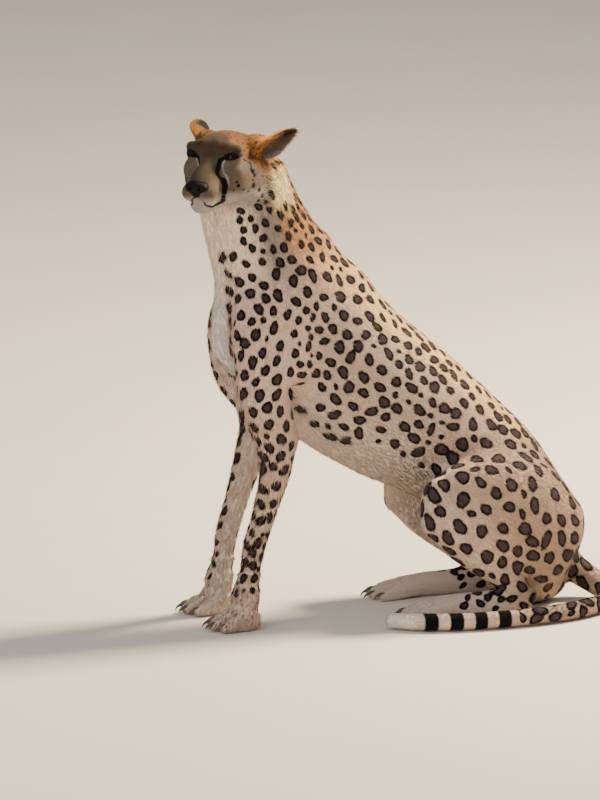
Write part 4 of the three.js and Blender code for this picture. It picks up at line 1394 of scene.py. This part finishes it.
def tuft_sizes(points):
    """Length, width and lift of tufts: short and fine on face and feet, long on nape, belly and ruff."""
    h = to_head(points)
    t, front = on_trunk(points)
    z, y = points[:, 2], points[:, 1]
    length = 9.0 - 3.5 * smooth(260, 40, z) * smooth(-150, -220, y)
    length = length - 3 * smooth(120, 40, z) * smooth(-220, -150, y) * smooth(240, 200, y)
    length = length + 6 * smooth(0.8, 0.9, t) * smooth(-0.1, -0.6, front)
    length = length + 6 * smooth(0.8, 0.95, front) * smooth(0.25, 0.35, t)
    face = 8.5 - 5.6 * smooth(30, 120, h[:, 1])
    face = face + 9 * smooth(36, 6, h[:, 1]) * smooth(-10, -30, h[:, 2])
    on_head = smooth(12, 4, head_field(h)) * smooth(-88, -66, h[:, 2])
    length = length + (face - length) * on_head
    width = 0.75 + 0.075 * length
    width = width * (1 - 0.4 * on_head * smooth(40, 110, h[:, 1]))
    lift = 0.26 + 0.1 * on_head * smooth(40, 0, h[:, 1])
    return length, width, lift


def marked(points, normals, along, length, jitter=0.35):
    """Colours of tufts with the markings, read where the middle of each tuft lies, the rims feathered by a
    random shift, each tuft a little lighter or darker than the next."""
    shift = SEED.normal(0, 0.45, (len(points), 1)) * length[:, None]
    tone = toned(points + along * shift, normals)
    middle = points + along * (length * 0.5)[:, None]
    rim = coat_marks(middle, normals) + SEED.normal(0, jitter, len(points))
    # black, turning inside to the painted sheen of the spot's middle
    dark = painted("dark", ("spot_middle_sheen", smooth(*SPOT_CORE, rim)))
    dark = dark * SEED.uniform(0.7, 1.35, (len(points), 1))
    tone = tone * SEED.normal(1, 0.09, (len(points), 1))
    return np.clip(mixed(tone, dark, smooth(SPOT_EDGE, -SPOT_EDGE, rim)), 0, 1)


centre = skin_points[skin_faces].mean(1)
h = to_head(centre)
length, width, _ = tuft_sizes(centre)
tuft_weight = 1 / (length * width)
almond, _ = slit(folded_over(h))
over_eye = (almond < 1.5) & (np.abs(h[:, 1] - 105) < 16) & (h[:, 2] > 20) & (h[:, 2] < 50)
tuft_weight[(centre[:, 2] < 3) | over_eye] = 0
roots, root_normals, root_uv = sample_surface(
    skin_points, skin_faces, skin_normals, tuft_weight, TUFT_COUNT, skin_uv
)
length, width, lift = tuft_sizes(roots)
root_lie = lie(roots, root_normals)
colours = marked(roots, root_normals, root_lie, length)
add_tufts("coat", roots, root_normals, root_uv, length, width, lift, colours, "coat", root_lie)

# ---- ears ----


def ear_point(s, up, over, side):
    """A cupped leaf: at each height up it is an arc of half width sin(pi (n + (0.98 - n) up^1.1))^0.75,
    where n is the narrowing of that ear's root, curled by 1.2 - 0.5 up radians to each side, with half the
    wall to each side of it."""
    root = from_head(np.array(EAR_ROOT[s]))
    turn_z = np.array(
        [[math.cos(angle), -math.sin(angle), 0], [math.sin(angle), math.cos(angle), 0], [0, 0, 1]]
    )
    axis = unit(np.array(EAR_AXIS[s]))
    opening = np.array([s * 0.5, -0.5, -0.55])
    opening = unit(opening - axis * (opening @ axis))
    across = np.cross(opening, axis)
    axis, opening, across = (turn_z @ v for v in (axis, opening, across))
    half = EAR_WIDTH / 2 * np.sin(np.pi * (EAR_NECK[s] + (0.98 - EAR_NECK[s]) * up**1.1)) ** 0.75
    curl = 1.2 - 0.5 * up
    radius = half / np.sin(curl)
    thick = EAR_WALL * (1 - 0.4 * up) * (1 - 0.75 * over**4) / 2
    r = radius - side * thick
    return (
        root
        + axis * (up * EAR_LENGTH[s])[..., None]
        + across * (np.sin(over * curl) * r)[..., None]
        + opening * (radius * 0.75 - np.cos(over * curl) * r - 8 * up**2)[..., None]
    ), opening


def ear_middle(s, up):
    """The middle of an ear's leaf at a height."""
    return ear_point(s, np.array([up]), np.array([0.0]), 0)[0][0]


def ear_mesh(s, rows=34, columns=31):
    """Both faces of the ear's leaf, joined round the rim: each row runs over the hollow face and back over
    the other, and poles close the root and the tip."""
    up = np.linspace(-0.12, 0.992, rows)[:, None]
    over = np.linspace(-1, 1, columns)
    hollow, opening = ear_point(s, np.maximum(up, 0) + 0 * over, over + 0 * up, 1)
    back, _ = ear_point(s, np.maximum(up, 0) + 0 * over, over + 0 * up, -1)
    axis_step = ear_middle(s, 0.1) - ear_middle(s, 0.0)
    below = np.minimum(up, 0)[..., None] * axis_step * 10 * 0.9
    ring = np.concatenate([hollow + below, (back + below)[:, ::-1]], 1)
    points, faces = closed_skin(ring[0].mean(0), ring, ring[-1].mean(0))
    ups = np.concatenate([[up[0, 0]], np.repeat(up[:, 0], 2 * columns), [up[-1, 0]]])
    sides = np.concatenate([[0], np.tile(np.repeat([1, -1], columns), rows), [0]])
    overs = np.concatenate([[0], np.tile(np.concatenate([over, over[::-1]]), rows), [0]])
    return points, faces, ups, overs, sides, opening


def ear_colours(s, ups, overs, sides):
    """The back is orange-brown at the root with a black patch above. The hollow's pale lining is darkened to
    grey-brown as painted shade, paler towards its lower rim, and its upper half shows the patch's dark hair
    that curls over the rim, with an orange below it that is a painted glow of light through the ear. The far
    ear is
    darker, as painted shade: its back is mixed towards the crown's colour and its glow weakened."""
    # painted shade: the far ear is darker than the near one, its back mixed towards the crown's colour and its
    # glow weakened
    far = s < 0
    patch = smooth(0.3, 0.46, ups - 0.1 * overs**2) * smooth(0.99, 0.8, ups)
    patch = patch * smooth(0.96, 0.5, np.abs(overs))
    back = painted("ear_back", ("crown", np.full(len(ups), 0.65 if far else 0.0)), ("dark", patch))
    inside = painted(
        # the pale lining darkened to grey-brown as painted shade
        "ear_inside_shaded",
        ("chin", smooth(-0.6, -0.95, overs) * smooth(0.9, 0.5, ups)),
        # painted glow of light shining through the ear
        ("ear_hollow_glow", smooth(-0.15, 0.25, overs) * smooth(0.62, 0.45, ups) * (0.3 if far else 1)),
        ("ear_patch", smooth(-0.5, -0.1, overs) * smooth(0.42, 0.62, ups)),
    )
    return mixed(back, inside, (sides > 0).astype(float))


for side_name, s in SIDES:
    points, faces, ups, overs, sides, opening = ear_mesh(s)
    normals = vertex_normals(points, faces)
    ear = add_piece(f"ear_skin_{side_name}", points, faces, UNDER_COAT, "ear", [f"ear_{side_name}"])
    tones = ear_colours(s, ups, overs, sides)
    set_tint(ear, tones * UNDER_COAT_SHADE)
    set_values(ear, "marking", np.full(len(points), UNMARKED))
    ear_uv = unwrap(ear)
    weights = np.where(sides[faces].mean(1) > 0.5, 0.8, 1.0) * (ups[faces].mean(1) > -0.06)
    at, n, uv = sample_surface(points, faces, normals, weights, EAR_TUFT_COUNT, ear_uv)
    along = unit(ear_middle(s, 0.2) - ear_middle(s, 0.0))
    inner = n @ opening > 0.15
    # Each tuft takes the colour of the nearest point on its own face of the leaf.
    nearest = np.empty(len(at), int)
    for part in slices(len(at), 2000):
        gap = ((at[part, None] - points[None]) ** 2).sum(2)
        gap += np.where(sides[None] == np.where(inner[part], 1, -1)[:, None], 0, 1e4)
        nearest[part] = gap.argmin(1)
    tones = np.clip(tones[nearest] * SEED.normal(1, 0.08, (len(at), 1)), 0, 1)
    flow = unit(along[None] - (n @ along)[:, None] * n)
    long_hair = inner & (SEED.random(len(at)) < 0.5)
    length, lift = np.where(long_hair, 13.0, 6.5), np.where(long_hair, 0.5, 0.22)
    width = np.full(len(at), EAR_TUFT_WIDTH)
    add_tufts(f"ear_coat_{side_name}", at, n, uv, length, width, lift, tones, "ear", flow, 0.2)

# ---- eyes and lids ----


def head_piece(name, points, faces, *rest):
    return add_piece(name, from_head(points), faces, *rest)


def eye_mesh(s):
    """A ball of rings from the middle of the pupil to the back, each ring's angle kept for the iris."""
    gaze = GAZE * [s, 1, 1]
    turn = turned(np.array([0.0, 1.0, 0.0]), gaze)
    ring = np.linspace(0, np.pi, 49)[1:-1]
    spin = np.linspace(0, 2 * np.pi, 64, endpoint=False)
    radius = EYE_RADIUS + CORNEA_BULGE * smooth(0.7, 0.2, ring)
    rows = np.stack(
        [
            np.sin(ring)[:, None] * np.cos(spin) * radius[:, None],
            (np.cos(ring) * radius)[:, None] + 0 * spin,
            np.sin(ring)[:, None] * np.sin(spin) * radius[:, None],
        ],
        -1,
    )
    centre = EYE_CENTRE * [s, 1, 1]
    rows = rows @ turn.T + centre
    points, faces = closed_skin(centre + gaze * (EYE_RADIUS + CORNEA_BULGE), rows, centre - gaze * EYE_RADIUS)
    angles = np.concatenate([[0], np.repeat(ring, len(spin)), [np.pi]])
    return points, faces, angles


def outward(points, faces):
    """Faces turned to point out, for a surface of the head's frame, whose handedness is the other way."""
    world = from_head(points)
    a, b, c = triangle_corners(world, faces)
    return faces if np.sum((a - world.mean(0)) * np.cross(b - a, c - a)) > 0 else faces[:, ::-1]


def lid_rim(s, radius, thick, steps=72, sides=12):
    """The bare dark rim of the lids: a closed tube round the almond, on a ball just larger than the eye."""
    turn = np.linspace(0, 2 * np.pi, steps, endpoint=False)
    u = SLIT_HALF * np.cos(turn)
    arch = 1 - (u / SLIT_HALF) ** 2
    v = np.where(turn < np.pi, SLIT_ABOVE * arch, -SLIT_BELOW * arch)
    across, upwards, gaze = (w * [s, 1, 1] for w in (SLIT_ACROSS, SLIT_UPWARDS, GAZE))
    depth = np.sqrt(np.maximum(radius**2 - u**2 - v**2, 1))
    path = EYE_CENTRE * [s, 1, 1] + u[:, None] * across + v[:, None] * upwards + depth[:, None] * gaze
    tangent = unit(np.roll(path, -1, 0) - np.roll(path, 1, 0))
    out = unit(path - EYE_CENTRE * [s, 1, 1])
    side = np.cross(out, tangent)
    spin = np.linspace(0, 2 * np.pi, sides, endpoint=False)[None, :, None]
    size = thick * (0.65 + 0.35 * arch)[:, None, None]
    rows = path[:, None] + size * (np.cos(spin) * side[:, None] * 1.25 + np.sin(spin) * out[:, None] * 0.8)
    i, j = np.meshgrid(np.arange(steps), np.arange(sides), indexing="ij")
    ni, nj = (i + 1) % steps, (j + 1) % sides
    a, b, c, d = i * sides + j, ni * sides + j, ni * sides + nj, i * sides + nj
    faces = np.concatenate([np.stack(corner, -1).reshape(-1, 3) for corner in ((a, b, c), (a, c, d))])
    points = rows.reshape(-1, 3)
    a, b, c = triangle_corners(from_head(points), faces)
    middle = from_head(np.repeat(path, sides, 0))[faces[:, 0]]
    return points, faces if np.sum((a - middle) * np.cross(b - a, c - a)) > 0 else faces[:, ::-1]


for side_name, s in SIDES:
    points, faces, angles = eye_mesh(s)
    eye = head_piece(f"eyeball_{side_name}", points, outward(points, faces), EYE, "eye", [f"eye_{side_name}"])
    set_values(eye, "ring", angles / math.radians(WHITE_ANGLE))
    points, faces = lid_rim(s, EYE_RADIUS + LID_RIM_OUT, LID_RIM_HALF)
    head_piece(f"lid_rims_{side_name}", points, faces, LEATHER, "nose")

# ---- nose ----


def nose_mesh():
    """The zero surface of the nose's field on a grid of 0.62 mm."""
    low, high, pitch = np.array([-26.0, 156, -38]), np.array([26.0, 192, 6]), 0.62
    counts = np.ceil((high - low) / pitch).astype(int) + 1
    d = nose_field(grid_points(low, counts, pitch))
    points, faces = zero_surface(np.maximum(d, -20), 20.0, low, pitch)
    return relax(points, faces, 2, 0.4), faces


points, faces = nose_mesh()
head_piece("nose_leather", points, outward(points, faces), LEATHER, "nose", ["nose"])

# ---- claws ----

CLAW = ((9, 3, 3.4), (0, 2.5, 3), (-7, -1, 2), (-11, -6, 0.9))  # back, up and half height along it

for kind in TOES:
    for side_name, s in SIDES:
        horns = []
        for x, fan, y, w, reach, height in toe_places(kind, s):
            at = np.array([x + fan * 1.5, y - reach - 6, height * 0.36])
            sections = [(at[0], at[1] + dy, at[2] + dz, r * 0.8, r, r) for dy, dz, r in CLAW]
            horns.append(tube(sections, 14, 12, front=UP, caps=(1, 0.8)))
        replaced = [f"claw_{kind}_{side_name}_{i}" for i in range(1, 5)]
        add_piece(f"claws_{kind}_{side_name}", *joined(horns), HORN, "claw", replaced)

# ---- whiskers ----


def whisker_mesh():
    """Thin bent spikes in rows on the whisker pads: tubes that sag by the square of the way along them."""
    made = []
    for s in (1, -1):
        for row, z in enumerate(WHISKER_ROWS):
            for column in range(2 + (row == 1)):
                forward = 166 - 7.5 * column - 2 * row
                root = np.array([s * (17 + 3.4 * column), forward, z])
                out = unit(np.array([s * (0.78 + 0.08 * column), 0.28 - 0.28 * column, -0.12 - 0.1 * row]))
                reach = 44 + 7 * column + SEED.uniform(-4, 4)
                t = np.linspace(0, 1, 7)[:, None]
                path = root + out * t * reach + np.array([0, -0.22 * reach, -0.16 * reach]) * t**2
                half = WHISKER_TAPER * (1 - t) + WHISKER_TIP
                sections = np.column_stack([from_head(path), half, half, half])
                made.append(tube(sections, 10, 5, front=UP, caps=(1, 0.3)))
    return joined(made)


points, faces = whisker_mesh()
whiskers = add_piece("whiskers", points, faces, HAIR, "coat")
set_tint(whiskers, np.repeat(hex_colour("A3988C")[None], len(points), 0))
unwrap(whiskers)

# ---- floor and light ----

floor_mesh = bpy.data.meshes.new("floor")
FLOOR_HALF = 15  # m
floor_corners = [(FLOOR_HALF * x, FLOOR_HALF * y, 0) for x, y in ((-1, -1), (1, -1), (1, 1), (-1, 1))]
floor_mesh.from_pydata(floor_corners, [], [(0, 1, 2, 3)])
floor_mesh.materials.append(floor_material())
floor = bpy.data.objects.new("floor", floor_mesh)
bpy.context.scene.collection.objects.link(floor)

LIT_HEIGHT = 0.45  # m, the middle of the animal


def soft_light(name, towards, distance, size, watts, colour):
    """A square light that faces the middle of the animal from a direction."""
    data = bpy.data.lights.new(name, "AREA")
    data.size, data.energy = size, watts
    data.color = tuple(hex_colour(colour))
    lamp = bpy.data.objects.new(name, data)
    bpy.context.scene.collection.objects.link(lamp)
    middle = Vector((0, 0, LIT_HEIGHT))
    direction = Vector(unit(np.asarray(towards, float)))
    lamp.location = middle + direction * distance
    lamp.rotation_euler = direction.to_track_quat("Z", "Y").to_euler()


KEY = {"distance": 4.0, "size": 1.0, "watts": 680, "colour": "FFE9CB"}
FILL = {"distance": 5.0, "size": 4.0, "watts": 130, "colour": "F4F2F2"}
soft_light("key", cam_right * 0.8 + UP * 1.0 - cam_back * 0.5, **KEY)
soft_light("fill", cam_back * 1.0 + UP * 0.5 - cam_right * 0.5, **FILL)
world = bpy.data.worlds.new("studio")
world.use_nodes = True
background = world.node_tree.nodes["Background"]
background.inputs["Color"].default_value = rgba(hex_colour("E9E6E4"))
background.inputs["Strength"].default_value = 0.55
bpy.context.scene.world = world
